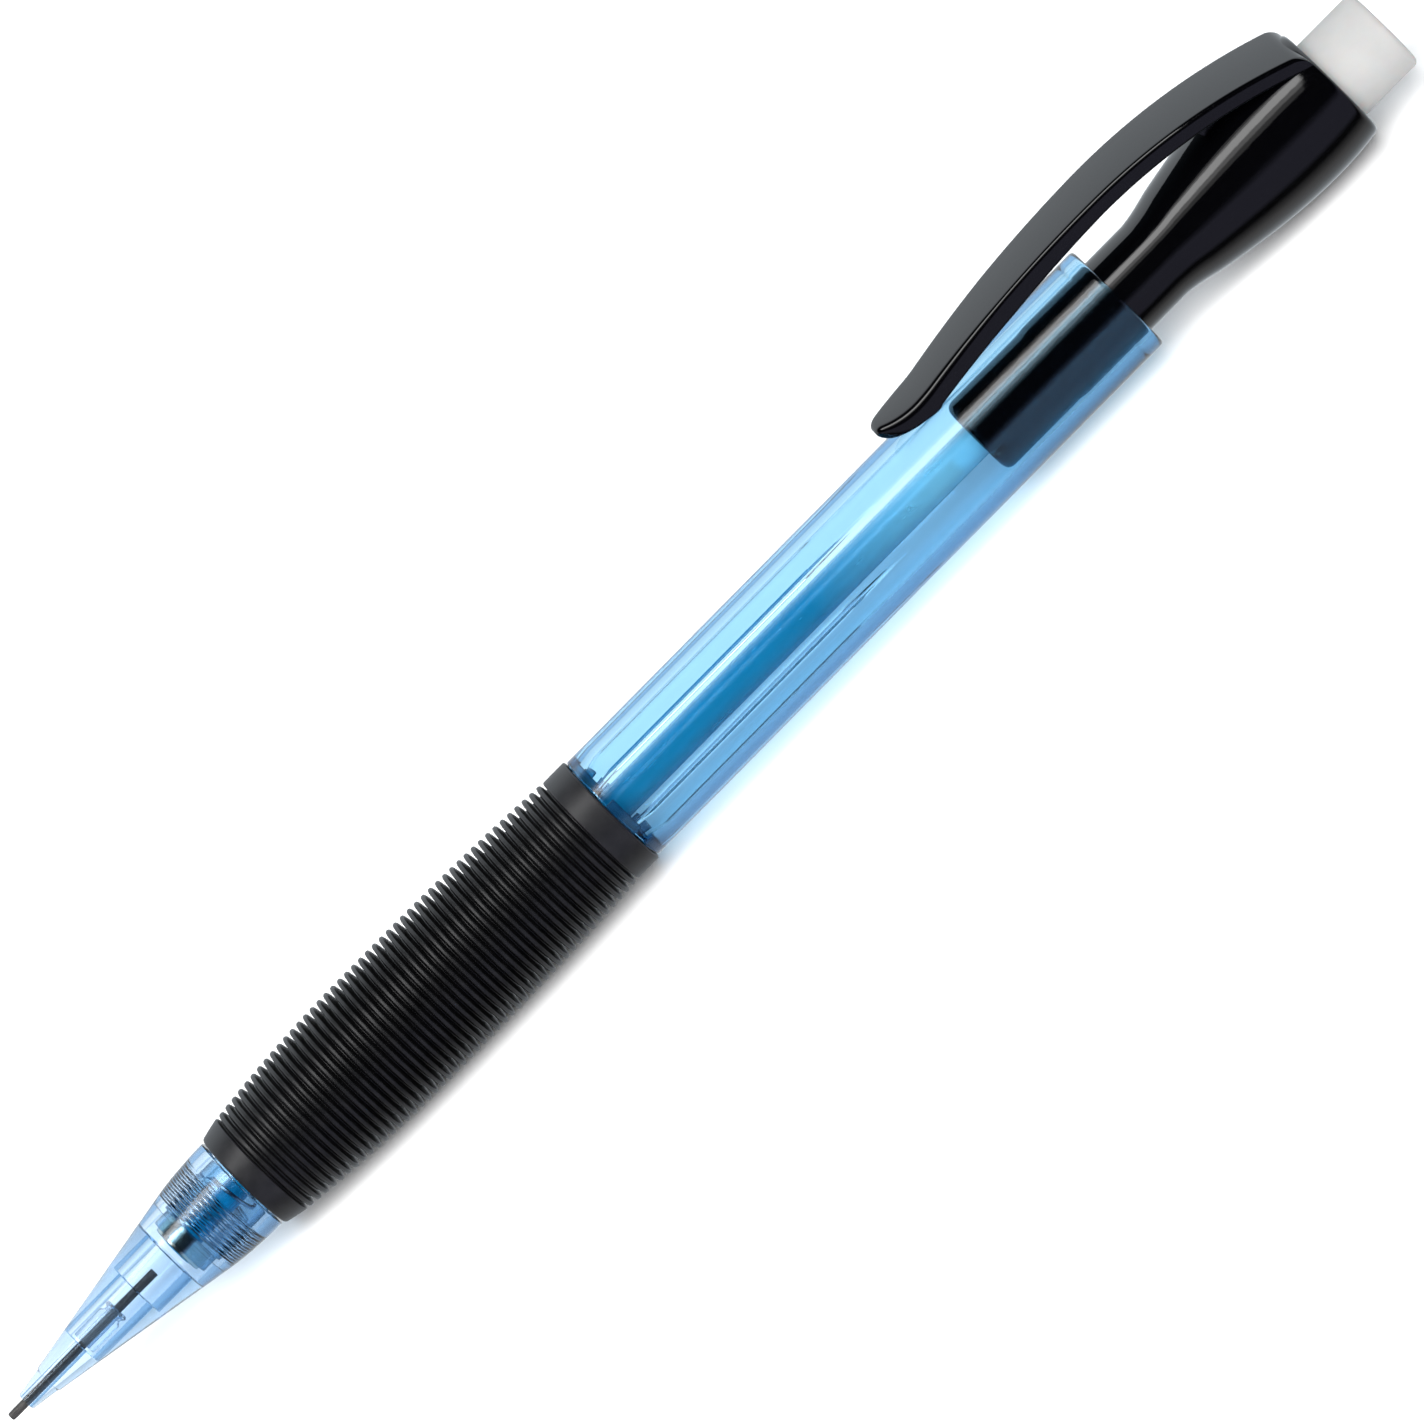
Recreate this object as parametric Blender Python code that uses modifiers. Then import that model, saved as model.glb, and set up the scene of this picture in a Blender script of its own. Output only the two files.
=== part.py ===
"""A push-button mechanical pencil, as separate pieces in one frame.

The pencil lies along X with its lead point towards -X and its pocket clip up (+Z). It is symmetric
about the plane y = 0. z = 0 is the surface that the grip's belly rests on, and x = 0 is half way
along. Stations below are millimetres from the lead's point, and radii are from the pencil's axis.
"""

import math

import bmesh
import bpy
from mathutils import Matrix, Vector

MM = 0.001

# Whole pencil
LENGTH = 147.1
SEGMENTS = 24  # flats round a large turned piece; one of them always faces down
SMALL_SEGMENTS = 12
CLEARANCE = 0.15  # radial room between pieces that touch or slide on each other
END_GAP = 0.3  # room along the axis between pieces that touch

# Leads
LEAD_RADIUS = 0.35
LEAD_BORE = 0.45
STUB_END = 15.7
FEED_LEAD_START = 18.4
FULL_LEAD_LENGTH = 60.0
SPARE_LEAD_START = 41.0
SPARE_LEAD_OFFSET = 0.735  # how far a spare lead lies from the axis
SPARE_LEAD_ANGLES = (-30.0, -90.0, -150.0)  # from +Y towards +Z: under the lead in use

# Nose cone
CONE_TIP = 1.65
CONE_TIP_RADIUS = 0.78
CONE_END = 20.9  # where the straight cone eases into the cylinder
CONE_END_RADIUS = 4.06
NOSE_REAR_RADIUS = 4.25
NOSE_REAR = 24.9
RETAINER_SEAT = 7.7
RETAINER_SEAT_RADIUS = 1.2
CHUCK_CHAMBER = 13.7
CHUCK_CHAMBER_RADIUS = 1.6
RING_STOP = 17.3
PILOT_BORE_RADIUS = 2.8
NOSE_THREAD_START = 19.3
NOSE_THREAD_RADIUS = 3.22
RETAINER_END = 11.7
RETAINER_RADIUS = 1.0

# Barrel
PILOT_START = 18.3
PILOT_RADIUS = 2.6
THREAD_START = 19.8
THREAD_TURNS = 8
THREAD_PITCH = 0.45
THREAD_ROOT = 2.85
THREAD_CREST = 3.05
SHOULDER = 25.3
UNDER_GRIP_RADIUS = 3.8
BARREL_RADIUS = 4.87
BARREL_END = 118.7
RIM_ROUND = 0.4
RING_CHAMBER_RADIUS = 2.3
LEDGE_START = 20.1
LEDGE_END = 21.3
LEDGE_BORE = 1.3
SPRING_BORE = 2.35
SPRING_BORE_END = 37.0
UNDER_GRIP_BORE = 3.1
BARREL_BORE = 3.75

# Grip
GRIP_START = 25.1
GRIP_END = 64.5
GRIP_BORE = UNDER_GRIP_RADIUS + CLEARANCE
GRIP_FRONT_RADIUS = 4.41
FRONT_COLLAR_END = 27.1
FRONT_COLLAR_RADIUS = 4.83
REAR_COLLAR_START = 62.15
REAR_COLLAR_RADIUS = 5.07
REAR_RIB_RADIUS = 5.12
GRIP_BELLY_RADIUS = 5.66
RIBS = 47
BELLY_RIB = 18  # counted from 0; its crest is the fattest and rests on the desk
RIB_CREST = 0.34
GROOVE_FLOOR = 0.2
GROOVE_RADIUS = 4.53
GROOVE_DEPTH_AT_ENDS = 0.55
RIB_PITCH = (REAR_COLLAR_START - FRONT_COLLAR_END) / RIBS
GRIP_BELLY = FRONT_COLLAR_END + (BELLY_RIB + 0.5) * RIB_PITCH

# Lead-advance mechanism
RING_START = 18.0
RING_END = 19.8
RING_RADIUS = 2.14
CHUCK_START = 17.9
CHUCK_HEAD_END = 19.6
CHUCK_HEAD_RADIUS = 1.4
CHUCK_NECK_RADIUS = 1.15
CHUCK_SHANK_RADIUS = 1.0
CHUCK_PLUG_START = 31.0
CHUCK_PLUG_RADIUS = 1.2
CHUCK_END = 35.0
CHUCK_SLIT_END = 27.5
CHUCK_SLIT_WIDTH = 0.35
CHUCK_JAWS = 3
COUPLER_START = 30.3
COUPLER_FLANGE_START = 32.3
COUPLER_FLANGE_END = 33.3
COUPLER_END = 39.0
COUPLER_SLEEVE_RADIUS = 1.5
COUPLER_FLANGE_RADIUS = 2.15
COUPLER_SOCKET_RADIUS = 1.9
SPRING_WIRE = 0.3
SPRING_RADIUS = 1.87
SPRING_TURNS = 9
SPRING_POINTS_PER_TURN = 12
TUBE_STOP = CHUCK_END + 0.8
TUBE_START = TUBE_STOP + END_GAP
TUBE_END = 112.0
TUBE_RADIUS = 1.4
TUBE_BORE = 1.14

# Push cap
INSERT_START = 103.5
INSERT_RADIUS = 3.45
INSERT_CHAMFER = 0.5
NECK_RADIUS = 3.52
FLARE_START = 122.6
CAP_BELLY = 137.0
CAP_BELLY_RADIUS = 5.41
CAP_END = 141.4
CAP_END_RADIUS = 5.05
CAP_END_ROUND = 0.7
TUBE_SOCKET_RADIUS = TUBE_RADIUS + CLEARANCE
TUBE_SOCKET_END = TUBE_END + END_GAP
REFILL_BORE = 1.2
ERASER_SOCKET_START = 128.0
ERASER_SOCKET_RADIUS = 3.85
NOTCH_LENGTH = 1.3
NOTCH_WIDTH = 0.6

# Eraser
ERASER_START = ERASER_SOCKET_START + END_GAP
ERASER_RADIUS = 3.68
ERASER_ROUND = 1.0

# Pocket clip and its shoulder on the cap: one arched strap, cut at the bending line
CLIP_TIP = 98.6
CLIP_CREST = 122.5
CLIP_CREST_HEIGHT = 8.84
CLIP_FRONT_ARC = 107.0
CLIP_REAR_ARC = 48.5
CLIP_FLICK_START = 104.2  # the strap turns up from here to its tip
CLIP_FLICK = 1.2
CLIP_CREST_THICKNESS = 1.45
CLIP_PAD_THICKNESS = 1.72
CLIP_TIP_THICKNESS = 1.3
CLIP_PAD = (103.4, 112.5)  # the underside is nearest to the barrel at the first station
CLIP_TIP_WIDTH = 4.4
CLIP_ROOT_WIDTH = 6.4
CLIP_TIP_ROUND = 4.0  # length of the rounded end, seen from above
CLIP_TIP_BLUNT = 0.5  # half-width left at the very tip
CLIP_ROOT = 131.2
SHOULDER_END = 140.9
SHOULDER_FOOT = 3.92  # height of the shoulder's underside, inside the cap's wall

AXIS_HEIGHT = GRIP_BELLY_RADIUS * math.cos(math.pi / SEGMENTS)

PLASTIC_BLACK = dict(color=(0.012, 0.012, 0.014), roughness=0.22)
PLASTIC_SATIN = dict(color=(0.035, 0.04, 0.045), roughness=0.38)
RUBBER_BLACK = dict(color=(0.016, 0.016, 0.017), roughness=0.72)
RUBBER_GREY = dict(color=(0.25, 0.28, 0.32), roughness=0.6)
CLEAR_BLUE = dict(color=(0.16, 0.5, 0.86), roughness=0.08, transmission=0.85)
CLEAR_PALE = dict(color=(0.55, 0.75, 0.95), roughness=0.08, transmission=0.9)
TUBE_PLASTIC = dict(color=(0.1, 0.3, 0.6), roughness=0.3)
GRAPHITE = dict(color=(0.05, 0.05, 0.055), roughness=0.5, metallic=0.3)
BRASS = dict(color=(0.75, 0.58, 0.28), roughness=0.28, metallic=1.0)
STEEL = dict(color=(0.6, 0.6, 0.62), roughness=0.3, metallic=1.0)
VINYL_WHITE = dict(color=(0.78, 0.78, 0.78), roughness=0.65)


def station_x(station):
    """World X, in metres, of a station in millimetres."""
    return (station - LENGTH / 2) * MM


def clear_scene():
    for obj in list(bpy.data.objects):
        bpy.data.objects.remove(obj, do_unlink=True)


def new_collection(name):
    collection = bpy.data.collections.new(name)
    bpy.context.scene.collection.children.link(collection)
    return collection


def new_material(name, color, roughness, metallic=0.0, transmission=0.0):
    material = bpy.data.materials.new(name)
    material.use_nodes = True
    shader = material.node_tree.nodes["Principled BSDF"]
    shader.inputs["Base Color"].default_value = (*color, 1.0)
    shader.inputs["Roughness"].default_value = roughness
    shader.inputs["Metallic"].default_value = metallic
    shader.inputs["Transmission Weight"].default_value = transmission
    material.diffuse_color = (*color, 1.0)
    return material


def shade(mesh):
    mesh.shade_smooth()
    mesh.set_sharp_from_angle(angle=math.radians(35))


def add_screw(obj, segments):
    screw = obj.modifiers.new("Turn", "SCREW")
    screw.axis = "Z"
    screw.angle = 2 * math.pi
    screw.steps = segments
    screw.render_steps = segments
    screw.use_merge_vertices = True
    screw.merge_threshold = 0.00001


def turned(name, outer, look, inner=(), segments=SEGMENTS, offset=(0.0, 0.0)):
    """A turned piece. outer and inner are (station, radius) points, each from the lead end to the
    eraser end. A solid piece has no inner line, and its outer line starts and ends on the axis.
    offset moves the piece's own axis sideways, in millimetres of Y and Z."""
    line = list(reversed(outer)) + list(inner)
    start = outer[0][0]
    mesh = bpy.data.meshes.new(name)
    points = [(radius * MM, 0.0, (station - start) * MM) for station, radius in line]
    edges = [(i, i + 1) for i in range(len(points) - 1)]
    if inner:
        edges.append((len(points) - 1, 0))
    mesh.from_pydata(points, edges, [])
    mesh.materials.append(new_material(name, **look))
    obj = bpy.data.objects.new(name, mesh)
    pencil.objects.link(obj)
    add_screw(obj, segments)
    place = Matrix.Translation((station_x(start), offset[0] * MM, AXIS_HEIGHT * MM + offset[1] * MM))
    flat_down = Matrix.Rotation(math.pi / segments, 4, "Z")
    obj.matrix_world = place @ Matrix.Rotation(math.pi / 2, 4, "Y") @ flat_down
    return obj


def rounded_end(station, radius, round_radius, steps=3):
    """Points round a convex end corner, from the side (at full radius) to the end face."""
    points = []
    for i in range(steps + 1):
        angle = math.pi / 2 * i / steps
        points.append(
            (
                station - round_radius + round_radius * math.sin(angle),
                radius - round_radius + round_radius * math.cos(angle),
            )
        )
    return points


def evaluated_mesh(obj):
    bpy.context.view_layer.update()
    graph = bpy.context.evaluated_depsgraph_get()
    return bpy.data.meshes.new_from_object(obj.evaluated_get(graph), depsgraph=graph)


def bake_modifiers(obj):
    """Replaces the object's mesh with its evaluated one and drops the modifiers."""
    mesh = evaluated_mesh(obj)
    obj.modifiers.clear()
    obj.data = mesh


def as_cutter(obj):
    for collection in list(obj.users_collection):
        collection.objects.unlink(obj)
    cutters.objects.link(obj)
    obj.hide_render = True
    obj.display_type = "WIRE"


def add_boolean(obj, other, operation):
    boolean = obj.modifiers.new(other.name, "BOOLEAN")
    boolean.operation = operation
    boolean.solver = "EXACT"
    boolean.object = other


def cutter_box(name, size, place):
    """A box of the given size, in millimetres, under the given world matrix."""
    mesh = bpy.data.meshes.new(name)
    bm = bmesh.new()
    bmesh.ops.create_cube(bm, size=1.0, matrix=Matrix.Diagonal((*(MM * s for s in size), 1.0)))
    bm.to_mesh(mesh)
    bm.free()
    box = bpy.data.objects.new(name, mesh)
    pencil.objects.link(box)
    box.matrix_world = place
    as_cutter(box)
    return box


def nose_outline():
    """The cone, straight to CONE_END, then eased into the cylinder behind it."""
    points = [(CONE_TIP, CONE_TIP_RADIUS - 0.2), (CONE_TIP + 0.2, CONE_TIP_RADIUS)]
    points.append((CONE_END, CONE_END_RADIUS))
    points.append((CONE_END + 1.2, CONE_END_RADIUS + 0.13))
    points.append((CONE_END + 2.6, NOSE_REAR_RADIUS))
    points.append((NOSE_REAR, NOSE_REAR_RADIUS))
    return points


def make_nose():
    bore = [
        (CONE_TIP, LEAD_BORE),
        (RETAINER_SEAT, LEAD_BORE),
        (RETAINER_SEAT, RETAINER_SEAT_RADIUS),
        (CHUCK_CHAMBER, RETAINER_SEAT_RADIUS),
        (CHUCK_CHAMBER, CHUCK_CHAMBER_RADIUS),
        (RING_STOP, CHUCK_CHAMBER_RADIUS),
        (RING_STOP, PILOT_BORE_RADIUS),
        (NOSE_THREAD_START, PILOT_BORE_RADIUS),
        (NOSE_THREAD_START, NOSE_THREAD_RADIUS),
        (NOSE_REAR, NOSE_THREAD_RADIUS),
    ]
    turned("nose_cone", nose_outline(), CLEAR_PALE, inner=bore)

    start = RETAINER_SEAT + END_GAP
    outside = [
        (start, RETAINER_RADIUS),
        (RETAINER_END - 0.4, RETAINER_RADIUS),
        (RETAINER_END, RETAINER_RADIUS - 0.2),
    ]
    hole = [(start, LEAD_BORE), (RETAINER_END, LEAD_BORE)]
    turned("lead_retainer", outside, RUBBER_GREY, inner=hole, segments=SMALL_SEGMENTS)


def make_lead(name, start, end, offset=(0.0, 0.0)):
    outline = [(start, 0.0), (start, LEAD_RADIUS), (end, LEAD_RADIUS), (end, 0.0)]
    turned(name, outline, GRAPHITE, segments=SMALL_SEGMENTS, offset=offset)


def make_leads():
    make_lead("lead_stub", 0.0, STUB_END)
    make_lead("feed_lead", FEED_LEAD_START, FEED_LEAD_START + FULL_LEAD_LENGTH)
    for number, degrees in enumerate(SPARE_LEAD_ANGLES, 1):
        angle = math.radians(degrees)
        offset = (SPARE_LEAD_OFFSET * math.cos(angle), SPARE_LEAD_OFFSET * math.sin(angle))
        end = SPARE_LEAD_START + FULL_LEAD_LENGTH
        make_lead(f"spare_lead_{number}", SPARE_LEAD_START, end, offset)


def make_barrel():
    outside = [(PILOT_START, PILOT_RADIUS), (THREAD_START, PILOT_RADIUS)]
    for turn in range(THREAD_TURNS):
        start = THREAD_START + turn * THREAD_PITCH
        outside.append((start, THREAD_ROOT))
        outside.append((start + THREAD_PITCH / 2, THREAD_CREST))
    thread_end = THREAD_START + THREAD_TURNS * THREAD_PITCH
    outside += [
        (thread_end, THREAD_ROOT),
        (SHOULDER, THREAD_ROOT),
        (SHOULDER, UNDER_GRIP_RADIUS),
        (GRIP_END + END_GAP, UNDER_GRIP_RADIUS),
        (GRIP_END + END_GAP, BARREL_RADIUS),
    ]
    outside += rounded_end(BARREL_END, BARREL_RADIUS, RIM_ROUND)
    bore = [
        (PILOT_START, RING_CHAMBER_RADIUS),
        (LEDGE_START, RING_CHAMBER_RADIUS),
        (LEDGE_START, LEDGE_BORE),
        (LEDGE_END, LEDGE_BORE),
        (LEDGE_END, SPRING_BORE),
        (SPRING_BORE_END, SPRING_BORE),
        (SPRING_BORE_END + 1.0, UNDER_GRIP_BORE),
        (GRIP_END - 1.0, UNDER_GRIP_BORE),
        (GRIP_END + 1.0, BARREL_BORE),
        (BARREL_END, BARREL_BORE),
    ]
    turned("barrel", outside, CLEAR_BLUE, inner=bore)


def grip_radius(station):
    """Outer radius of the grip between its two collars: steep in front of the belly, flat behind."""
    if station < GRIP_BELLY:
        share = (GRIP_BELLY - station) / (GRIP_BELLY - FRONT_COLLAR_END)
        return GRIP_BELLY_RADIUS - (GRIP_BELLY_RADIUS - FRONT_COLLAR_RADIUS) * share**2
    share = (station - GRIP_BELLY) / (REAR_COLLAR_START - GRIP_BELLY)
    return GRIP_BELLY_RADIUS - (GRIP_BELLY_RADIUS - REAR_RIB_RADIUS) * share**2.8


def groove_radius(station):
    """Radius of the grooves' floors: level, but no deeper than the wall allows at the ends."""
    return min(GROOVE_RADIUS, grip_radius(station) - GROOVE_DEPTH_AT_ENDS)


def make_grip():
    outside = [
        (GRIP_START, GRIP_FRONT_RADIUS),
        (GRIP_START + 0.5, GRIP_FRONT_RADIUS + 0.22),
        (FRONT_COLLAR_END, FRONT_COLLAR_RADIUS),
    ]
    for rib in range(RIBS):
        start = FRONT_COLLAR_END + rib * RIB_PITCH
        middle = start + RIB_PITCH / 2
        outside.append((start + GROOVE_FLOOR / 2, groove_radius(start)))
        outside.append((middle - RIB_CREST / 2, grip_radius(middle)))
        outside.append((middle + RIB_CREST / 2, grip_radius(middle)))
        outside.append((start + RIB_PITCH - GROOVE_FLOOR / 2, groove_radius(start + RIB_PITCH)))
    outside += [
        (REAR_COLLAR_START, REAR_COLLAR_RADIUS),
        (GRIP_END, REAR_COLLAR_RADIUS),
    ]
    hole = [
        (GRIP_START, THREAD_ROOT + CLEARANCE),
        (SHOULDER - END_GAP / 2, THREAD_ROOT + CLEARANCE),
        (SHOULDER - END_GAP / 2, GRIP_BORE),
        (GRIP_END, GRIP_BORE),
    ]
    turned("grip", outside, RUBBER_BLACK, inner=hole)


def make_clutch_ring():
    outside = [
        (RING_START, RING_RADIUS - 0.15),
        (RING_START + 0.15, RING_RADIUS),
        (RING_END, RING_RADIUS),
    ]
    hole = [
        (RING_START, CHUCK_HEAD_RADIUS + CLEARANCE),
        (RING_END, CHUCK_NECK_RADIUS + CLEARANCE + 0.05),
    ]
    turned("clutch_ring", outside, BRASS, inner=hole)


def make_chuck():
    """A collet: its flared head is slit into jaws, and its plug sits in the coupler."""
    outside = [
        (CHUCK_START, CHUCK_HEAD_RADIUS - 0.15),
        (CHUCK_START + 0.15, CHUCK_HEAD_RADIUS),
        (CHUCK_HEAD_END, CHUCK_NECK_RADIUS),
        (CHUCK_HEAD_END + 0.3, CHUCK_SHANK_RADIUS),
        (CHUCK_PLUG_START, CHUCK_SHANK_RADIUS),
        (CHUCK_PLUG_START, CHUCK_PLUG_RADIUS),
        (CHUCK_END, CHUCK_PLUG_RADIUS),
    ]
    hole = [(CHUCK_START, LEAD_BORE), (CHUCK_END - 1.0, LEAD_BORE), (CHUCK_END, CHUCK_PLUG_RADIUS - 0.3)]
    chuck = turned("chuck", outside, TUBE_PLASTIC, inner=hole)
    length = CHUCK_SLIT_END - CHUCK_START + 1.0
    for jaw in range(CHUCK_JAWS):
        place = (
            Matrix.Translation((station_x(CHUCK_START - 1.0), 0.0, AXIS_HEIGHT * MM))
            @ Matrix.Rotation(2 * math.pi * jaw / CHUCK_JAWS, 4, "X")
            @ Matrix.Translation((length / 2 * MM, 0.0, CHUCK_HEAD_RADIUS * MM))
        )
        size = (length, CHUCK_SLIT_WIDTH, 2 * CHUCK_HEAD_RADIUS - LEAD_BORE)
        add_boolean(chuck, cutter_box(f"chuck_slit_{jaw + 1}", size, place), "DIFFERENCE")
    bake_modifiers(chuck)


def make_coupler_and_tube():
    outside = [
        (COUPLER_START, COUPLER_SLEEVE_RADIUS),
        (COUPLER_FLANGE_START, COUPLER_SLEEVE_RADIUS),
        (COUPLER_FLANGE_START, COUPLER_FLANGE_RADIUS),
        (COUPLER_FLANGE_END, COUPLER_FLANGE_RADIUS),
        (COUPLER_FLANGE_END, COUPLER_SOCKET_RADIUS),
        (COUPLER_END, COUPLER_SOCKET_RADIUS),
    ]
    plug_bore = CHUCK_PLUG_RADIUS + 0.1
    hole = [
        (COUPLER_START, plug_bore),
        (CHUCK_END + END_GAP, plug_bore),
        (CHUCK_END + END_GAP, CHUCK_PLUG_RADIUS - 0.3),
        (TUBE_STOP, CHUCK_PLUG_RADIUS - 0.3),
        (TUBE_STOP, TUBE_RADIUS + CLEARANCE),
        (COUPLER_END, TUBE_RADIUS + CLEARANCE),
    ]
    turned("chuck_coupler", outside, TUBE_PLASTIC, inner=hole)

    outside = [(TUBE_START, TUBE_RADIUS), (TUBE_END, TUBE_RADIUS)]
    hole = [(TUBE_START, TUBE_BORE), (TUBE_END, TUBE_BORE)]
    turned("lead_tube", outside, TUBE_PLASTIC, inner=hole)


def make_spring():
    """Compression spring between the barrel's inner ledge and the coupler's flange."""
    room = SPRING_WIRE / 2 + END_GAP / 2
    start = LEDGE_END + room
    end = COUPLER_FLANGE_START - room
    count = SPRING_TURNS * SPRING_POINTS_PER_TURN
    curve = bpy.data.curves.new("chuck_spring", "CURVE")
    curve.dimensions = "3D"
    curve.bevel_depth = SPRING_WIRE / 2 * MM
    curve.bevel_resolution = 2
    curve.use_fill_caps = True
    spline = curve.splines.new("POLY")
    spline.points.add(count)
    for i, point in enumerate(spline.points):
        angle = 2 * math.pi * i / SPRING_POINTS_PER_TURN
        station = start + (end - start) * i / count
        along = (station - start) * MM
        ring = (SPRING_RADIUS * MM * math.cos(angle), SPRING_RADIUS * MM * math.sin(angle))
        point.co = (along, *ring, 1.0)
    spring = bpy.data.objects.new("chuck_spring", curve)
    curve.materials.append(new_material("chuck_spring", **STEEL))
    pencil.objects.link(spring)
    spring.location = (station_x(start), 0.0, AXIS_HEIGHT * MM)


def strap_height(station):
    """Height of the strap's outer face over the axis: two arcs that meet at the crest, and a tip
    that turns up."""
    arc = CLIP_FRONT_ARC if station < CLIP_CREST else CLIP_REAR_ARC
    height = CLIP_CREST_HEIGHT - arc + math.sqrt(arc**2 - (station - CLIP_CREST) ** 2)
    flick = max(0.0, (CLIP_FLICK_START - station) / (CLIP_FLICK_START - CLIP_TIP))
    return height + CLIP_FLICK * flick**2


def strap_thickness(station):
    """The strap is thickest along its pad and thins to the crest and to the tip."""
    pad_start, pad_end = CLIP_PAD
    if station < pad_start:
        share = (pad_start - station) / (pad_start - CLIP_TIP)
        return CLIP_PAD_THICKNESS + (CLIP_TIP_THICKNESS - CLIP_PAD_THICKNESS) * share
    share = min(max((station - pad_end) / (CLIP_CREST - pad_end), 0.0), 1.0)
    return CLIP_PAD_THICKNESS + (CLIP_CREST_THICKNESS - CLIP_PAD_THICKNESS) * share


def strap_half_width(station):
    """Half the strap's width: wider towards the cap, with a rounded tip."""
    share = (station - CLIP_TIP) / (CAP_END - CLIP_TIP)
    half = (CLIP_TIP_WIDTH + (CLIP_ROOT_WIDTH - CLIP_TIP_WIDTH) * share) / 2
    into = min(max(0.0, 1 - (station - CLIP_TIP) / CLIP_TIP_ROUND), 1.0)
    return CLIP_TIP_BLUNT + (half - CLIP_TIP_BLUNT) * (1 - into**2) ** 0.7


def extruded_strap(name, outline, look):
    """The side outline, in (station, height over the axis) points, widened to the strap's width."""
    curve = bpy.data.curves.new(name, "CURVE")
    curve.dimensions = "2D"
    curve.fill_mode = "BOTH"
    curve.extrude = 1.0
    spline = curve.splines.new("POLY")
    spline.points.add(len(outline) - 1)
    for point, (station, height) in zip(spline.points, outline):
        point.co = (station, height, 0.0, 1.0)
    spline.use_cyclic_u = True
    guide = bpy.data.objects.new(name + "_outline", curve)
    pencil.objects.link(guide)
    mesh = evaluated_mesh(guide)
    bpy.data.objects.remove(guide, do_unlink=True)
    bm = bmesh.new()
    bm.from_mesh(mesh)
    bmesh.ops.remove_doubles(bm, verts=bm.verts, dist=0.0001)
    bmesh.ops.recalc_face_normals(bm, faces=bm.faces)
    hinge = Vector((station_x(CLIP_ROOT), 0.0, (AXIS_HEIGHT + strap_height(CLIP_ROOT)) * MM))
    for vert in bm.verts:
        station, height, side = vert.co
        world = Vector(
            (
                station_x(station),
                -side * strap_half_width(station) * MM,
                (AXIS_HEIGHT + height) * MM,
            )
        )
        vert.co = world - hinge
    bm.to_mesh(mesh)
    bm.free()
    mesh.name = name
    mesh.materials.clear()
    mesh.materials.append(new_material(name, **look))
    strap = bpy.data.objects.new(name, mesh)
    strap.location = hinge
    pencil.objects.link(strap)
    return strap


def stations(start, end, count):
    return [start + (end - start) * i / count for i in range(count + 1)]


def make_clip():
    """The clip's strap, with a rounded nose."""
    along = [CLIP_TIP + 0.35, CLIP_TIP + 0.9] + stations(CLIP_TIP + 1.7, CLIP_ROOT, 19)
    nose = (CLIP_TIP, strap_height(CLIP_TIP) - 0.65)
    top = [(s, strap_height(s)) for s in along[1:]]
    under = [(s, strap_height(s) - strap_thickness(s)) for s in reversed(along[1:])]
    brow = (along[0], strap_height(along[0]) - 0.15)
    chin = (along[0], strap_height(along[0]) - strap_thickness(along[0]) + 0.15)
    outline = [nose, brow] + top + under + [chin]
    extruded_strap("pocket_clip", outline, PLASTIC_SATIN)


def cap_radius(station):
    """Outer radius of the push cap behind its straight neck."""
    if station < CAP_BELLY:
        share = (station - FLARE_START) / (CAP_BELLY - FLARE_START)
        return NECK_RADIUS + (CAP_BELLY_RADIUS - NECK_RADIUS) * math.sin(math.pi / 2 * share)
    share = (station - CAP_BELLY) / (CAP_END - CAP_BELLY)
    return CAP_BELLY_RADIUS - (CAP_BELLY_RADIUS - CAP_END_RADIUS) * share**2


def make_cap():
    outside = [
        (INSERT_START, INSERT_RADIUS - INSERT_CHAMFER),
        (INSERT_START + INSERT_CHAMFER, INSERT_RADIUS),
        (BARREL_END - 1.0, INSERT_RADIUS),
        (BARREL_END - 0.5, NECK_RADIUS),
    ]
    flare_steps = 10
    outside += [(s, cap_radius(s)) for s in stations(FLARE_START, CAP_BELLY, flare_steps)]
    corner = rounded_end(CAP_END, CAP_END_RADIUS, CAP_END_ROUND)
    outside += [(CAP_BELLY + 2.0, cap_radius(CAP_BELLY + 2.0))] + corner
    hole = [
        (INSERT_START, TUBE_SOCKET_RADIUS),
        (TUBE_SOCKET_END, TUBE_SOCKET_RADIUS),
        (TUBE_SOCKET_END, REFILL_BORE),
        (ERASER_SOCKET_START, REFILL_BORE),
        (ERASER_SOCKET_START, ERASER_SOCKET_RADIUS),
        (CAP_END, ERASER_SOCKET_RADIUS),
    ]
    cap = turned("push_cap", outside, PLASTIC_BLACK, inner=hole)

    shoulder_start = CLIP_ROOT + END_GAP
    ridge = [(shoulder_start, SHOULDER_FOOT)]
    ridge += [(s, strap_height(s)) for s in stations(shoulder_start, SHOULDER_END, 8)]
    ridge.append((SHOULDER_END, SHOULDER_FOOT))
    shoulder = extruded_strap("clip_shoulder", ridge, PLASTIC_BLACK)
    as_cutter(shoulder)
    add_boolean(cap, shoulder, "UNION")

    place = Matrix.Translation((station_x(INSERT_START), 0.0, AXIS_HEIGHT * MM))
    size = (2 * NOTCH_LENGTH, 4 * INSERT_RADIUS, NOTCH_WIDTH)
    add_boolean(cap, cutter_box("insert_notches", size, place), "DIFFERENCE")
    bake_modifiers(cap)


def make_eraser():
    outline = [(ERASER_START, 0.0), (ERASER_START, ERASER_RADIUS)]
    outline += rounded_end(LENGTH, ERASER_RADIUS, ERASER_ROUND, steps=4) + [(LENGTH, 0.0)]
    turned("eraser", outline, VINYL_WHITE)


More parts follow.
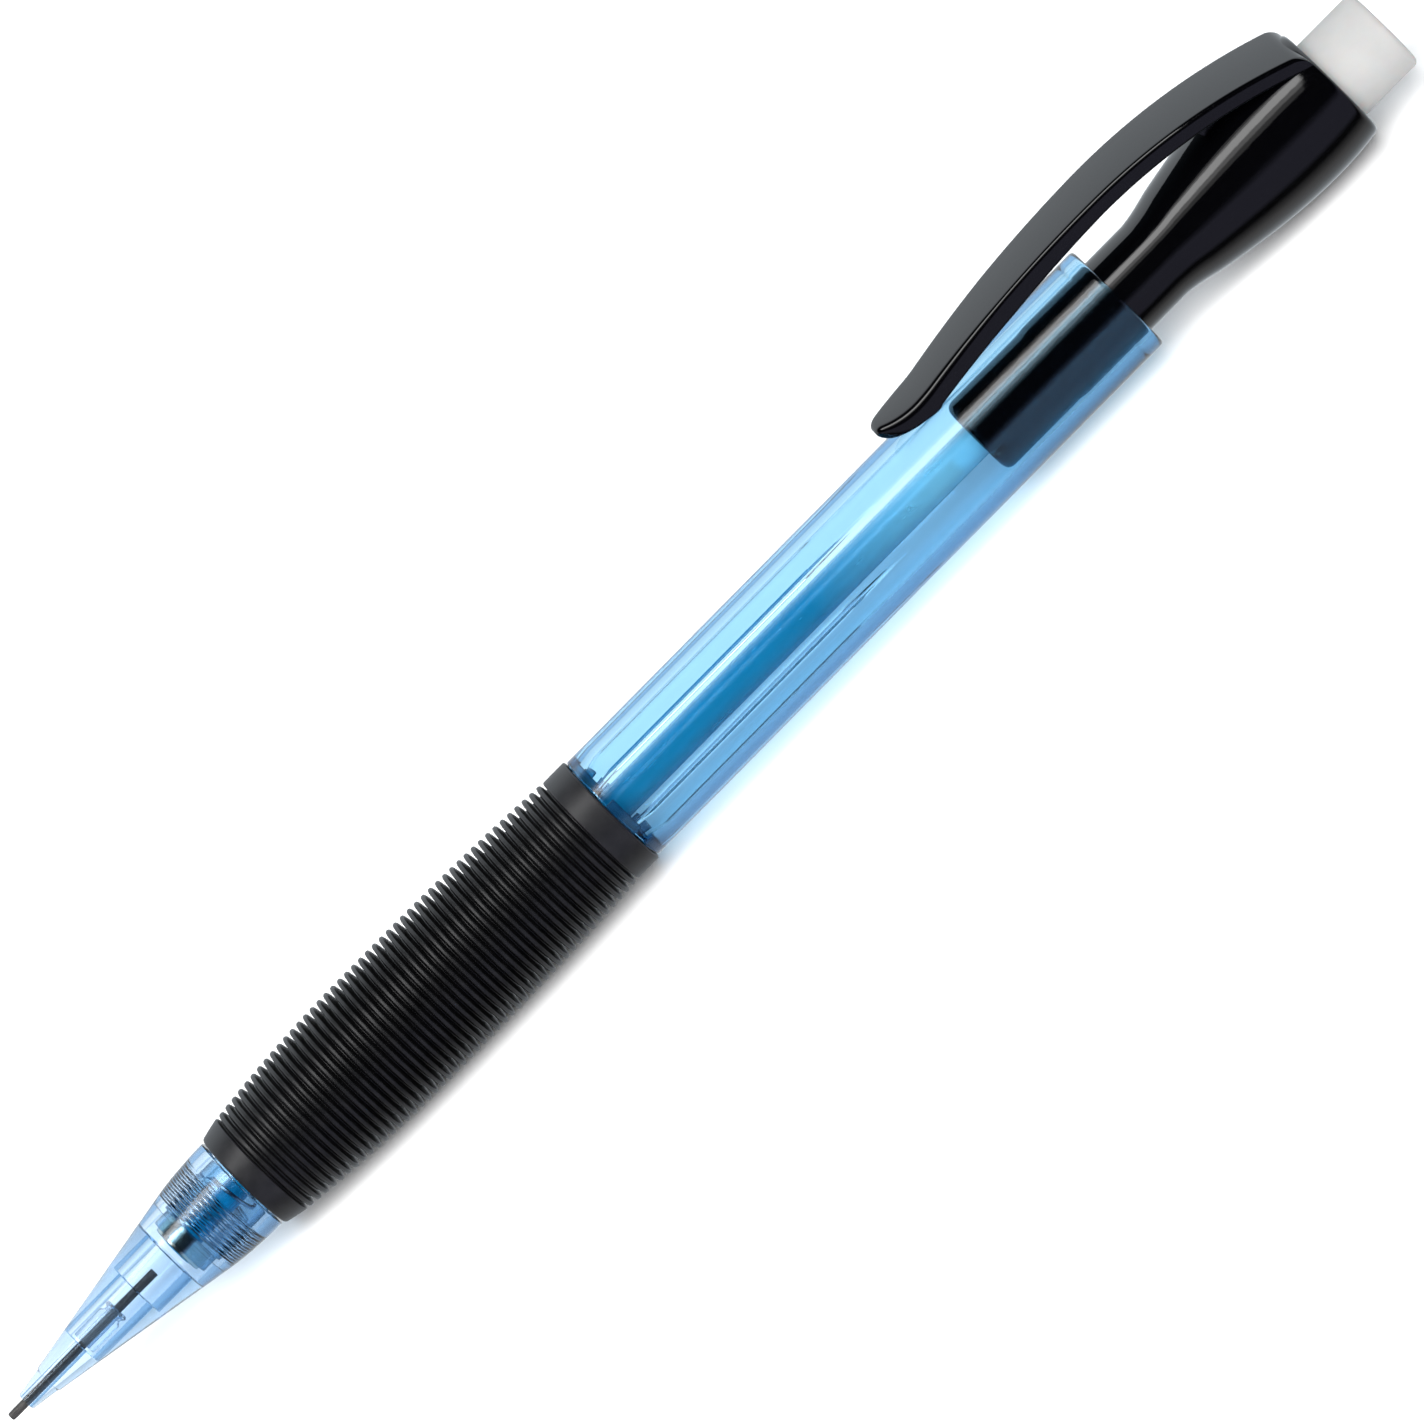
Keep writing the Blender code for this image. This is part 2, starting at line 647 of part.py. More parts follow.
clear_scene()
pencil = new_collection("mechanical_pencil")
cutters = new_collection("cutters")
make_nose()
make_leads()
make_barrel()
make_grip()
make_clutch_ring()
make_chuck()
make_coupler_and_tube()
make_spring()
make_clip()
make_cap()
make_eraser()
for piece in pencil.objects:
    if piece.type == "MESH":
        shade(piece.data)
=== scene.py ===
import math

import bpy
import numpy as np
from mathutils import Matrix, Vector


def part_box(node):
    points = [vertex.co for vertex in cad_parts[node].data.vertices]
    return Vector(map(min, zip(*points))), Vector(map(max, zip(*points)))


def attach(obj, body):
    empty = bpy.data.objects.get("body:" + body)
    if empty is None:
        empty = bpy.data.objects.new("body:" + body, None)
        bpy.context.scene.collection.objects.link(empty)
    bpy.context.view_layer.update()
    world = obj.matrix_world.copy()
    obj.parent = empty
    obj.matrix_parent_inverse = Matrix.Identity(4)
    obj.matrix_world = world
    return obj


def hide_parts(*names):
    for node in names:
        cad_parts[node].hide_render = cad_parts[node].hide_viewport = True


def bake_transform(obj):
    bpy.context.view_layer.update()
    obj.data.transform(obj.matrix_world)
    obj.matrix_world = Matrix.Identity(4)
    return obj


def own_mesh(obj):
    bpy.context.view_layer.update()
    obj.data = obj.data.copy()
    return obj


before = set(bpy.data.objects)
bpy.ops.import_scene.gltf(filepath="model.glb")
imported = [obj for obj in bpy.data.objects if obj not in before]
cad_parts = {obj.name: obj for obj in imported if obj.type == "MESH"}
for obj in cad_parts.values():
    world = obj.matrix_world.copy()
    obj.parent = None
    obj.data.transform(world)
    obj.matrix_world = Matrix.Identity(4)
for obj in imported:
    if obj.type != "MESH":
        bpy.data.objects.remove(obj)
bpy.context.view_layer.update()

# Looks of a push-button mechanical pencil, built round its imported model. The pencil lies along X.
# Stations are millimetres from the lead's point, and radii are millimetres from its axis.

MM = 0.001
CAD_FLATS = 24  # flats round a large turned CAD piece, which make its box a little narrower
SMALL_CAD_FLATS = 12
SEGMENTS = 144
FILLET = 0.08

stub_low, stub_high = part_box("lead_stub")
POINT_X = stub_low.x
AXIS_Z = (stub_low.z + stub_high.z) / 2


def x_of(station):
    return POINT_X + station * MM


def span(node):
    """First and last station of a CAD node."""
    low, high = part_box(node)
    return (low.x - POINT_X) / MM, (high.x - POINT_X) / MM


def radius_of(node, flats=CAD_FLATS):
    low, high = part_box(node)
    return (high.y - low.y) / 2 / MM / math.cos(math.pi / flats)


NOSE_START, NOSE_END = span("nose_cone")
GRIP_START, GRIP_END = span("grip")
BARREL_START, BARREL_END = span("barrel")
CAP_START, CAP_END = span("push_cap")
CLIP_TIP, CLIP_ROOT = span("pocket_clip")
ERASER_START, ERASER_END = span("eraser")
TUBE_START, TUBE_END = span("lead_tube")
RING_START, RING_END = span("clutch_ring")
CHUCK_START, CHUCK_END = span("chuck")
COUPLER_START, COUPLER_END = span("chuck_coupler")
RETAINER_START, RETAINER_END = span("lead_retainer")
SPRING_START, SPRING_END = span("chuck_spring")
BARREL_RADIUS = radius_of("barrel")
BELLY_RADIUS = radius_of("grip")
NOSE_RADIUS = radius_of("nose_cone")
CAP_RADIUS = radius_of("push_cap")
ERASER_RADIUS = radius_of("eraser")
TUBE_RADIUS = radius_of("lead_tube")
RING_RADIUS = radius_of("clutch_ring")
COUPLER_RADIUS = radius_of("chuck_coupler")
LEAD_RADIUS = radius_of("lead_stub", SMALL_CAD_FLATS)
CLIP_CREST_HEIGHT = (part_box("pocket_clip")[1].z - AXIS_Z) / MM


# ---------------------------------------------------------------- mesh helpers


def add_object(name, verts, faces, smooth_angle=38):
    mesh = bpy.data.meshes.new(name)
    mesh.from_pydata([tuple(v) for v in verts], [], faces)
    mesh.validate()
    mesh.shade_smooth()
    mesh.set_sharp_from_angle(angle=math.radians(smooth_angle))
    obj = bpy.data.objects.new(name, mesh)
    bpy.context.scene.collection.objects.link(obj)
    return obj


def soften(points, fillet=FILLET, closed=True, steps=4):
    """Rounds a profile's corners. A point's third number is its own rounding in place of fillet."""
    out = []
    count = len(points)
    for i, point in enumerate(points):
        here = np.array(point[:2], float)
        size = point[2] if len(point) > 2 else fillet
        if size == 0 or (not closed and i in (0, count - 1)):
            out.append(tuple(here))
            continue
        before = np.array(points[i - 1][:2], float) - here
        after = np.array(points[(i + 1) % count][:2], float) - here
        before_length = np.linalg.norm(before)
        after_length = np.linalg.norm(after)
        cut = min(size, 0.45 * before_length, 0.45 * after_length)
        start = here + before / before_length * cut
        end = here + after / after_length * cut
        for k in range(steps + 1):
            t = k / steps
            out.append(tuple((1 - t) ** 2 * start + 2 * t * (1 - t) * here + t * t * end))
    return out


def lathe(name, line, closed=True, segments=SEGMENTS):
    """Turns a line round the pencil's axis. It runs along the outside towards the eraser, then back
    along the bore. A point is (station, radius), and the radius may be an array, one value for each
    angle. An open line starts and ends on the axis."""
    angles = np.arange(segments) * 2 * math.pi / segments
    verts, rings = [], []
    for station, radius in line:
        radii = np.broadcast_to(np.asarray(radius, float), (segments,))
        if radii.max() < 1e-6:
            rings.append([len(verts)] * segments)
            verts.append((x_of(station), 0.0, AXIS_Z))
            continue
        rings.append(list(range(len(verts), len(verts) + segments)))
        verts += [on_circle(station, r, angle) for angle, r in zip(angles, radii)]
    faces = []
    pairs = list(zip(rings, rings[1:]))
    if closed:
        pairs.append((rings[-1], rings[0]))
    for ring, following in pairs:
        for j in range(segments):
            k = (j + 1) % segments
            corners = [ring[j], ring[k], following[k], following[j]]
            face = []
            for corner in corners:
                if corner not in face:
                    face.append(corner)
            faces.append(face)
    return add_object(name, verts, faces)


def on_circle(station, radius, angle):
    """A point round the pencil's axis, in metres."""
    return (x_of(station), radius * MM * math.cos(angle), AXIS_Z + radius * MM * math.sin(angle))


def steps_between(start, end, count):
    return [start + (end - start) * i / count for i in range(count + 1)]


def ease(t):
    t = min(max(t, 0.0), 1.0)
    return t * t * (3 - 2 * t)


def give(obj, look):
    """Puts a material on a piece."""
    obj.data.materials.clear()
    obj.data.materials.append(look)


# ------------------------------------------------------------ material helpers


class Nodes:
    """A short way to write a material's node tree."""

    def __init__(self, name):
        self.material = bpy.data.materials.new(name)
        self.material.use_nodes = True
        self.tree = self.material.node_tree
        self.shader = self.tree.nodes["Principled BSDF"]
        self.output = self.tree.nodes["Material Output"]
        self.coords = self.tree.nodes.new("ShaderNodeTexCoord").outputs["Object"]

    def set(self, **values):
        for key, value in values.items():
            socket = self.shader.inputs[key.replace("_", " ")]
            socket.default_value = (*value, 1.0) if isinstance(value, tuple) else value

    def link(self, source, target):
        self.tree.links.new(source, target)

    def to_shader(self, source, name):
        self.link(source, self.shader.inputs[name])

    def stretched(self, along, across):
        """Object coordinates scaled along and across the pencil."""
        node = self.tree.nodes.new("ShaderNodeMapping")
        node.inputs["Scale"].default_value = (along, across, across)
        self.link(self.coords, node.inputs["Vector"])
        return node.outputs["Vector"]

    def along(self):
        """Position along the pencil, in metres."""
        split = self.tree.nodes.new("ShaderNodeSeparateXYZ")
        self.link(self.coords, split.inputs["Vector"])
        return split.outputs["X"]

    def noise(self, scale, detail=3.0, rough=0.5, vector=None):
        node = self.tree.nodes.new("ShaderNodeTexNoise")
        node.inputs["Scale"].default_value = scale
        node.inputs["Detail"].default_value = detail
        node.inputs["Roughness"].default_value = rough
        self.link(vector or self.coords, node.inputs["Vector"])
        return node.outputs["Fac"]

    def cells(self, scale):
        node = self.tree.nodes.new("ShaderNodeTexVoronoi")
        node.inputs["Scale"].default_value = scale
        self.link(self.coords, node.inputs["Vector"])
        return node.outputs["Distance"]

    def ranged(self, source, low, high, start=0.3, end=0.7):
        node = self.tree.nodes.new("ShaderNodeMapRange")
        node.inputs["From Min"].default_value = start
        node.inputs["From Max"].default_value = end
        node.inputs["To Min"].default_value = low
        node.inputs["To Max"].default_value = high
        self.link(source, node.inputs["Value"])
        return node.outputs["Result"]

    def mixed(self, factor, first, second):
        node = self.tree.nodes.new("ShaderNodeMix")
        node.data_type = "RGBA"
        self.link(factor, node.inputs["Factor"])
        for socket, value in ((node.inputs["A"], first), (node.inputs["B"], second)):
            if isinstance(value, tuple):
                socket.default_value = (*value, 1.0)
            else:
                self.link(value, socket)
        return node.outputs["Result"]

    def added(self, first, second, share=1.0):
        node = self.tree.nodes.new("ShaderNodeMath")
        node.operation = "MULTIPLY_ADD"
        self.link(second, node.inputs[0])
        node.inputs[1].default_value = share
        self.link(first, node.inputs[2])
        return node.outputs[0]

    def bump(self, height, distance):
        node = self.tree.nodes.new("ShaderNodeBump")
        node.inputs["Strength"].default_value = 1.0
        node.inputs["Distance"].default_value = distance
        self.link(height, node.inputs["Height"])
        self.to_shader(node.outputs["Normal"], "Normal")

    def pass_lamps(self, tint):
        """Lets light from lamps through the surface, tinted at each crossing by tint's root."""
        rays = self.tree.nodes.new("ShaderNodeLightPath").outputs["Is Shadow Ray"]
        clear = self.tree.nodes.new("ShaderNodeBsdfTransparent")
        clear.inputs["Color"].default_value = (*(math.sqrt(c) for c in tint), 1.0)
        mix = self.tree.nodes.new("ShaderNodeMixShader")
        self.link(rays, mix.inputs[0])
        self.link(self.shader.outputs[0], mix.inputs[1])
        self.link(clear.outputs[0], mix.inputs[2])
        self.link(mix.outputs[0], self.output.inputs["Surface"])

    def absorb(self, color, density):
        node = self.tree.nodes.new("ShaderNodeVolumeAbsorption")
        node.inputs["Color"].default_value = (*color, 1.0)
        node.inputs["Density"].default_value = density
        self.link(node.outputs["Volume"], self.output.inputs["Volume"])


def clear_plastic(name, tint, lamps, color, density, rough):
    """Moulded clear styrene: flow marks along the pencil, fine handling scratches, and a colour that
    deepens with thickness. It lets a grey share of the lamps' light through, so that its shadow on
    the white floor is grey."""
    n = Nodes(name)
    n.set(Base_Color=tint, Transmission_Weight=1.0, IOR=1.5)
    n.pass_lamps((lamps, lamps, lamps))
    scratches = n.noise(2600, 4.0, 0.6, n.stretched(0.12, 1.0))
    n.to_shader(n.ranged(scratches, 0.02, rough, 0.45, 0.72), "Roughness")
    flow = n.noise(420, 2.0, 0.4, n.stretched(0.08, 1.0))
    n.bump(flow, 0.000002)
    n.absorb(color, density)
    return n.material


def gloss_plastic(name):
    """Polished black moulding with a faint orange peel and hairline wear."""
    n = Nodes(name)
    n.set(IOR=1.5)
    wear = n.noise(5200, 4.0, 0.65, n.stretched(0.1, 1.0))
    worn = n.ranged(wear, 0.0, 1.0, 0.6, 0.8)
    n.to_shader(n.mixed(worn, (0.0006, 0.0006, 0.0009), (0.0022, 0.0022, 0.0027)), "Base Color")
    n.to_shader(n.ranged(wear, 0.06, 0.13, 0.45, 0.8), "Roughness")
    peel = n.noise(1500, 2.0, 0.5)
    n.bump(n.added(peel, wear, 0.3), 0.0000022)
    return n.material


def satin_plastic(name):
    """The clip's outer face: the same black plastic with a fine spark-eroded grain."""
    n = Nodes(name)
    n.set(IOR=1.52, Specular_Tint=(0.66, 0.86, 1.0))
    grain = n.noise(14000, 3.0, 0.6)
    broad = n.noise(260, 3.0, 0.5)
    skin = n.mixed(n.ranged(broad, 0.0, 1.0), (0.004, 0.006, 0.0075), (0.007, 0.010, 0.012))
    n.to_shader(skin, "Base Color")
    n.to_shader(n.ranged(grain, 0.34, 0.42), "Roughness")
    n.bump(grain, 0.0000030)
    return n.material


def rubber(name, low, high, smooth, rough):
    """Black moulded rubber: mottled, slightly dusty, with a fine pitted skin."""
    n = Nodes(name)
    n.set(IOR=1.48)
    pits = n.noise(16000, 3.0, 0.65)
    mottle = n.noise(900, 4.0, 0.6)
    n.to_shader(n.mixed(n.ranged(mottle, 0.0, 1.0, 0.35, 0.7), low, high), "Base Color")
    n.to_shader(n.ranged(n.added(mottle, pits, 0.35), smooth, rough, 0.4, 0.95), "Roughness")
    n.bump(n.added(pits, n.cells(9000), 0.3), 0.0000035)
    return n.material


def vinyl(name):
    """White block eraser: fine powdery skin with a few soft dents."""
    n = Nodes(name)
    n.set(IOR=1.45, Subsurface_Weight=0.25, Subsurface_Scale=0.0012)
    powder = n.noise(9000, 4.0, 0.65)
    clouds = n.noise(420, 3.0, 0.5)
    skin = n.mixed(n.ranged(clouds, 0.0, 1.0, 0.3, 0.7), (0.36, 0.36, 0.355), (0.39, 0.39, 0.385))
    n.to_shader(skin, "Base Color")
    n.to_shader(n.ranged(powder, 0.5, 0.68), "Roughness")
    n.bump(n.added(powder, clouds, 0.8), 0.000010)
    return n.material


def turned_metal(name, color, shade, smooth, rough, ring_scale):
    """Machined metal, with fine tool marks that run round the axis."""
    n = Nodes(name)
    n.set(Metallic=1.0)
    marks = n.noise(ring_scale, 3.0, 0.6, n.stretched(1.0, 0.02))
    stain = n.noise(1800, 3.0, 0.5)
    n.to_shader(n.mixed(n.ranged(stain, 0.0, 1.0), color, shade), "Base Color")
    n.to_shader(n.ranged(marks, smooth, rough), "Roughness")
    n.bump(marks, 0.000003)
    return n.material


def graphite(name):
    """Polymer lead: dark grey with a dull sheen and fine lines along it."""
    n = Nodes(name)
    n.set(Metallic=0.35)
    grain = n.noise(9000, 4.0, 0.7, n.stretched(0.15, 1.0))
    n.to_shader(n.mixed(n.ranged(grain, 0.0, 1.0), (0.035, 0.034, 0.034), (0.085, 0.08, 0.078)), "Base Color")
    n.to_shader(n.ranged(grain, 0.36, 0.56), "Roughness")
    n.bump(grain, 0.000012)
    return n.material


def milky_plastic(name, color, smooth, rough, through, end_color=None):
    """Thin translucent polypropylene, which blurs what is inside it. With end_color it pales along
    the pencil over TUBE_FADE."""
    n = Nodes(name)
    n.set(IOR=1.49, Transmission_Weight=through)
    n.pass_lamps(color)
    clouds = n.noise(1400, 3.0, 0.5, n.stretched(0.15, 1.0))
    darker = tuple(0.9 * c for c in color)
    skin = n.mixed(n.ranged(clouds, 0.0, 1.0), color, darker)
    if end_color:
        start, end = TUBE_FADE
        skin = n.mixed(n.ranged(n.along(), 0.0, 1.0, x_of(start), x_of(end)), skin, end_color)
    n.to_shader(skin, "Base Color")
    n.to_shader(n.ranged(clouds, smooth, rough), "Roughness")
    n.bump(clouds, 0.000004)
    return n.material


TUBE_END_TINT = (0.50, 0.80, 0.90)  # the tube is paler behind the guide ribs
TUBE_FADE = (86.0, 99.0)  # stations where it starts to pale and where it has
CLEAR_BLUE = clear_plastic(
    "clear_blue_styrene", (0.71, 0.86, 0.95), 0.79, (0.08, 0.68, 0.93), 200.0, rough=0.06
)
CLEAR_PALE = clear_plastic(
    "clear_pale_styrene", (0.80, 0.885, 0.97), 0.815, (0.15, 0.56, 0.85), 120.0, rough=0.07
)
BLACK_GLOSS = gloss_plastic("black_gloss_moulding")
BLACK_SATIN = satin_plastic("black_satin_moulding")
# The ribs' rubber is darker than the collars' rubber: painted shade that stands in for the shade in the
# grooves between the ribs.
RIB_RUBBER_PAINTED_SHADE = rubber("rib_rubber_painted_shade", (0.0031, 0.0033, 0.0037), (0.0072, 0.0072, 0.0080), 0.36, 0.46)
COLLAR_RUBBER = rubber("collar_rubber", (0.0068, 0.0070, 0.0083), (0.0105, 0.0105, 0.0122), 0.38, 0.46)
WHITE_VINYL = vinyl("white_vinyl")
BRASS = turned_metal("turned_brass", (0.90, 0.86, 0.74), (0.80, 0.74, 0.58), 0.12, 0.22, 9000)
STEEL = turned_metal("spring_wire", (0.66, 0.66, 0.68), (0.5, 0.5, 0.53), 0.2, 0.34, 6000)
LEAD = graphite("graphite_lead")
TUBE = milky_plastic("blue_tube", (0.025, 0.40, 0.62), 0.16, 0.28, 0.62, TUBE_END_TINT)
CHUCK_BLUE = milky_plastic("chuck_plastic", (0.005, 0.37, 0.64), 0.2, 0.32, 0.3)
KEY_BLUE = milky_plastic("barrel_key_blue", (0.05, 0.24, 0.40), 0.08, 0.18, 0.9)
COUPLER = milky_plastic("coupler_plastic", (0.02, 0.28, 0.60), 0.25, 0.4, 0.4)
SOFT_BUSH = milky_plastic("retainer_rubber", (0.82, 0.90, 0.975), 0.05, 0.12, 0.97)


# --------------------------------------------------------------------- the nose

TIP_RADIUS = 0.74
TIP_STEP = 4.06  # station of the small step behind the slim tip
CONE_END = 20.9
CONE_END_RADIUS = 4.06
CONE_START_RADIUS = 0.78
LEAD_BORE = 0.39
RETAINER_SEAT = 7.7
RETAINER_SEAT_RADIUS = 1.2
CHUCK_CHAMBER = 13.7
CHUCK_CHAMBER_RADIUS = 1.6
RING_STOP = 17.3
PILOT_BORE = 2.8
THREAD_BORE_START = 19.3
THREAD_BORE = 3.22
THREAD_START = 19.8
THREAD_TURNS = 8
THREAD_PITCH = 0.45
THREAD_ROOT = 2.85
THREAD_CREST = 3.05
FEMALE_DEPTH = 0.13
STEPS_PER_TURN = 8


def thread_line(inward):
    """Stations and per-angle radii of a helical thread, as an outside or an inside surface."""
    angles = np.arange(SEGMENTS) / SEGMENTS
    length = THREAD_TURNS * THREAD_PITCH
    count = THREAD_TURNS * STEPS_PER_TURN
    line = []
    for i in range(count + 1):
        along = length * i / count
        phase = (along / THREAD_PITCH - angles) % 1.0
        tooth = np.clip(1.6 * (1.0 - np.abs(2 * phase - 1.0)) - 0.3, 0.0, 1.0)
        fade = ease(along / THREAD_PITCH) * ease((length - along) / THREAD_PITCH)
        if inward:
            line.append((THREAD_START + along, THREAD_BORE + FEMALE_DEPTH * fade * tooth))
        else:
            line.append((THREAD_START + along, THREAD_ROOT + (THREAD_CREST - THREAD_ROOT) * fade * tooth))
    return line


def cone_radius(station):
    share = (station - NOSE_START) / (CONE_END - NOSE_START)
    return CONE_START_RADIUS + (CONE_END_RADIUS - CONE_START_RADIUS) * share


def make_nose():
    outside = soften(
        [
            (NOSE_START, LEAD_BORE + 0.06, 0.03),
            (NOSE_START, TIP_RADIUS, 0.25),
            (TIP_STEP - 0.04, cone_radius(TIP_STEP) - 0.09, 0.03),
            (TIP_STEP + 0.04, cone_radius(TIP_STEP), 0.05),
            (CONE_END, CONE_END_RADIUS, 1.6),
            (CONE_END + 3.0, NOSE_RADIUS, 1.5),
            (NOSE_END, NOSE_RADIUS, 0.1),
            (NOSE_END, THREAD_BORE, 0.05),
        ],
        closed=False,
        steps=6,
    )
    bore = soften(
        [
            (THREAD_BORE_START, THREAD_BORE, 0.06),
            (THREAD_BORE_START, PILOT_BORE, 0.06),
            (RING_STOP, PILOT_BORE, 0.12),
            (RING_STOP, CHUCK_CHAMBER_RADIUS, 0.06),
            (CHUCK_CHAMBER, CHUCK_CHAMBER_RADIUS, 0.1),
            (CHUCK_CHAMBER, RETAINER_SEAT_RADIUS, 0.06),
            (RETAINER_SEAT, RETAINER_SEAT_RADIUS, 0.08),
            (RETAINER_SEAT, LEAD_BORE, 0.05),
            (NOSE_START, LEAD_BORE, 0.0),
        ],
        closed=False,
    )
    line = outside + list(reversed(thread_line(inward=True))) + bore
    nose = lathe("nose_cone_shell", line)
    give(nose, CLEAR_PALE)
    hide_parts("nose_cone")
    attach(nose, "nose")


def make_retainer():
    """The soft bush that holds the lead between clicks."""
    hole = LEAD_RADIUS + 0.03
    radius = radius_of("lead_retainer", SMALL_CAD_FLATS)
    line = soften(
        [
            (RETAINER_START, hole, 0.05),
            (RETAINER_START, radius, 0.1),
            (RETAINER_END - 0.9, radius, 0.1),
            (RETAINER_END - 0.7, radius - 0.22, 0.1),
            (RETAINER_END - 0.45, radius - 0.22, 0.1),
            (RETAINER_END - 0.25, radius, 0.1),
            (RETAINER_END, radius - 0.1, 0.1),
            (RETAINER_END, hole + 0.25, 0.05),
            (RETAINER_END - 0.35, hole, 0.05),
        ]
    )
    bush = lathe("lead_retainer_bush", line, segments=96)
    give(bush, SOFT_BUSH)
    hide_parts("lead_retainer")
    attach(bush, "nose")


def make_lead(node, body, point_round=0.05):
    """A lead, with a worn point at its front and a broken-off rear end."""
    start, end = span(node)
    low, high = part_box(node)
    outline = [(start, 0.0), (start, LEAD_RADIUS - 0.02, point_round)]
    outline += [(start + 0.5, LEAD_RADIUS, 0.2), (end, LEAD_RADIUS, 0.03), (end, 0.0)]
    lead = lathe(node + "_rod", soften(outline, closed=False), closed=False, segments=48)
    lead.data.transform(Matrix.Translation((0, (low.y + high.y) / 2, (low.z + high.z) / 2 - AXIS_Z)))
    give(lead, LEAD)
    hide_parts(node)
    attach(lead, body)


# ------------------------------------------------------------------- the barrel

PILOT_RADIUS = 2.6
SHOULDER = 25.3
UNDER_GRIP_RADIUS = 3.8
RIM_ROUND = 0.6
RING_CHAMBER = 2.3
LEDGE_START = 20.1
LEDGE_END = 21.3
LEDGE_BORE = 1.3
SPRING_BORE = 2.35
SPRING_BORE_END = 37.0
UNDER_GRIP_BORE = 3.1
BARREL_BORE = 3.75
COUNTERBORE = 3.83
COUNTERBORE_START = 117.2
GUIDE_RIBS = 6
GUIDE_RIB_HEIGHT = 0.19
GUIDE_RIB_WIDTH = math.radians(8)
GUIDE_RIB_TURN = math.radians(-1)
GUIDE_START = 66.5
GUIDE_FADE = (87.0, 95.7)  # the ribs run out between these stations
GUIDE_STEPS = 40
BARREL_SEGMENTS = 240


def resampled(radii):
    """Radii at SEGMENTS angles, brought to BARREL_SEGMENTS angles."""
    wanted = np.arange(BARREL_SEGMENTS) / BARREL_SEGMENTS
    return np.interp(wanted, np.arange(SEGMENTS) / SEGMENTS, radii, period=1.0)


def guide_line(start, end, count):
    """The bore between two stations, with the ribs that guide the lead tube standing in from it."""
    angles = np.arange(BARREL_SEGMENTS) * 2 * math.pi / BARREL_SEGMENTS + GUIDE_RIB_TURN
    pitch = 2 * math.pi / GUIDE_RIBS
    offset = np.abs((angles + pitch / 2) % pitch - pitch / 2)
    line = []
    for station in steps_between(start, end, count):
        fade = 1 - min(max((station - GUIDE_FADE[0]) / (GUIDE_FADE[1] - GUIDE_FADE[0]), 0.0), 1.0)
        width = GUIDE_RIB_WIDTH * (0.3 + 0.7 * fade)
        bump = np.cos(np.clip(offset / width, 0.0, 0.5) * math.pi)
        line.append((station, BARREL_BORE - GUIDE_RIB_HEIGHT * fade * bump))
    return line


def make_barrel():
    front = soften(
        [
            (BARREL_START, RING_CHAMBER, 0.04),
            (BARREL_START, PILOT_RADIUS, 0.1),
            (THREAD_START - 0.1, PILOT_RADIUS, 0.05),
            (THREAD_START - 0.05, THREAD_ROOT, 0.05),
        ],
        closed=False,
    )
    outside = soften(
        [
            (SHOULDER, THREAD_ROOT, 0.05),
            (SHOULDER, UNDER_GRIP_RADIUS, 0.1),
            (GRIP_END + 0.12, UNDER_GRIP_RADIUS, 0.05),
            (GRIP_END + 0.12, BARREL_RADIUS, 0.14),
            (BARREL_END, BARREL_RADIUS, RIM_ROUND),
            (BARREL_END, COUNTERBORE + 0.12, 0.1),
            (BARREL_END - 0.2, COUNTERBORE, 0.1),
            (COUNTERBORE_START, COUNTERBORE, 0.2),
            (COUNTERBORE_START - 0.4, BARREL_BORE, 0.2),
        ],
        closed=False,
        steps=6,
    )
    guides = list(reversed(guide_line(GUIDE_START, GUIDE_FADE[1] + 0.5, GUIDE_STEPS)))
    bore = soften(
        [
            (GRIP_END - 1.0, UNDER_GRIP_BORE, 0.3),
            (SPRING_BORE_END + 1.0, UNDER_GRIP_BORE, 0.3),
            (SPRING_BORE_END, SPRING_BORE, 0.3),
            (LEDGE_END, SPRING_BORE, 0.1),
            (LEDGE_END, LEDGE_BORE, 0.08),
            (LEDGE_START, LEDGE_BORE, 0.08),
            (LEDGE_START, RING_CHAMBER, 0.08),
            (BARREL_START, RING_CHAMBER, 0.0),
        ],
        closed=False,
    )
    thread = [(station, resampled(radii)) for station, radii in thread_line(inward=False)]
    barrel = lathe("barrel_tube", front + thread + outside + guides + bore, segments=BARREL_SEGMENTS)
    give(barrel, CLEAR_BLUE)
    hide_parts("barrel")
    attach(barrel, "body")


# --------------------------------------------------------------------- the grip

FRONT_COLLAR_END = 27.1
FRONT_COLLAR_RADIUS = 4.83
GRIP_FRONT_RADIUS = 4.41
REAR_COLLAR_START = 62.15
REAR_COLLAR_RADIUS = 5.07
REAR_RIB_RADIUS = 5.12
RIBS = 47
BELLY_RIB = 18
RIB_PITCH = (REAR_COLLAR_START - FRONT_COLLAR_END) / RIBS
BELLY = FRONT_COLLAR_END + (BELLY_RIB + 0.5) * RIB_PITCH
GROOVE_RADIUS = 4.5
GROOVE_DEPTH_AT_ENDS = 0.55
RIB_PROFILE = (  # share of the pitch, and share of the groove's depth, up to the crest's middle
    (0.04, 1.0),
    (0.1, 0.96),
    (0.15, 0.82),
    (0.19, 0.55),
    (0.225, 0.25),
    (0.27, 0.09),
    (0.34, 0.02),
    (0.43, 0.0),
)
RIB_PROFILE += tuple((1.0 - along, depth) for along, depth in reversed(RIB_PROFILE))
KEYS = 6
KEY_LENGTH = 0.85
KEY_INNER = 3.9
KEY_OUTER = 4.5
KEY_SHARE = 0.66  # of the way round, the rest being gaps
KEY_TURN = math.radians(24)
KEY_STEPS = 14


def grip_radius(station):
    """Radius over the rib crests: steep in front of the belly, flat behind it."""
    if station < BELLY:
        share = (BELLY - station) / (BELLY - FRONT_COLLAR_END)
        return BELLY_RADIUS - (BELLY_RADIUS - FRONT_COLLAR_RADIUS) * share**2
    share = (station - BELLY) / (REAR_COLLAR_START - BELLY)
    return BELLY_RADIUS - (BELLY_RADIUS - REAR_RIB_RADIUS) * share**2.8


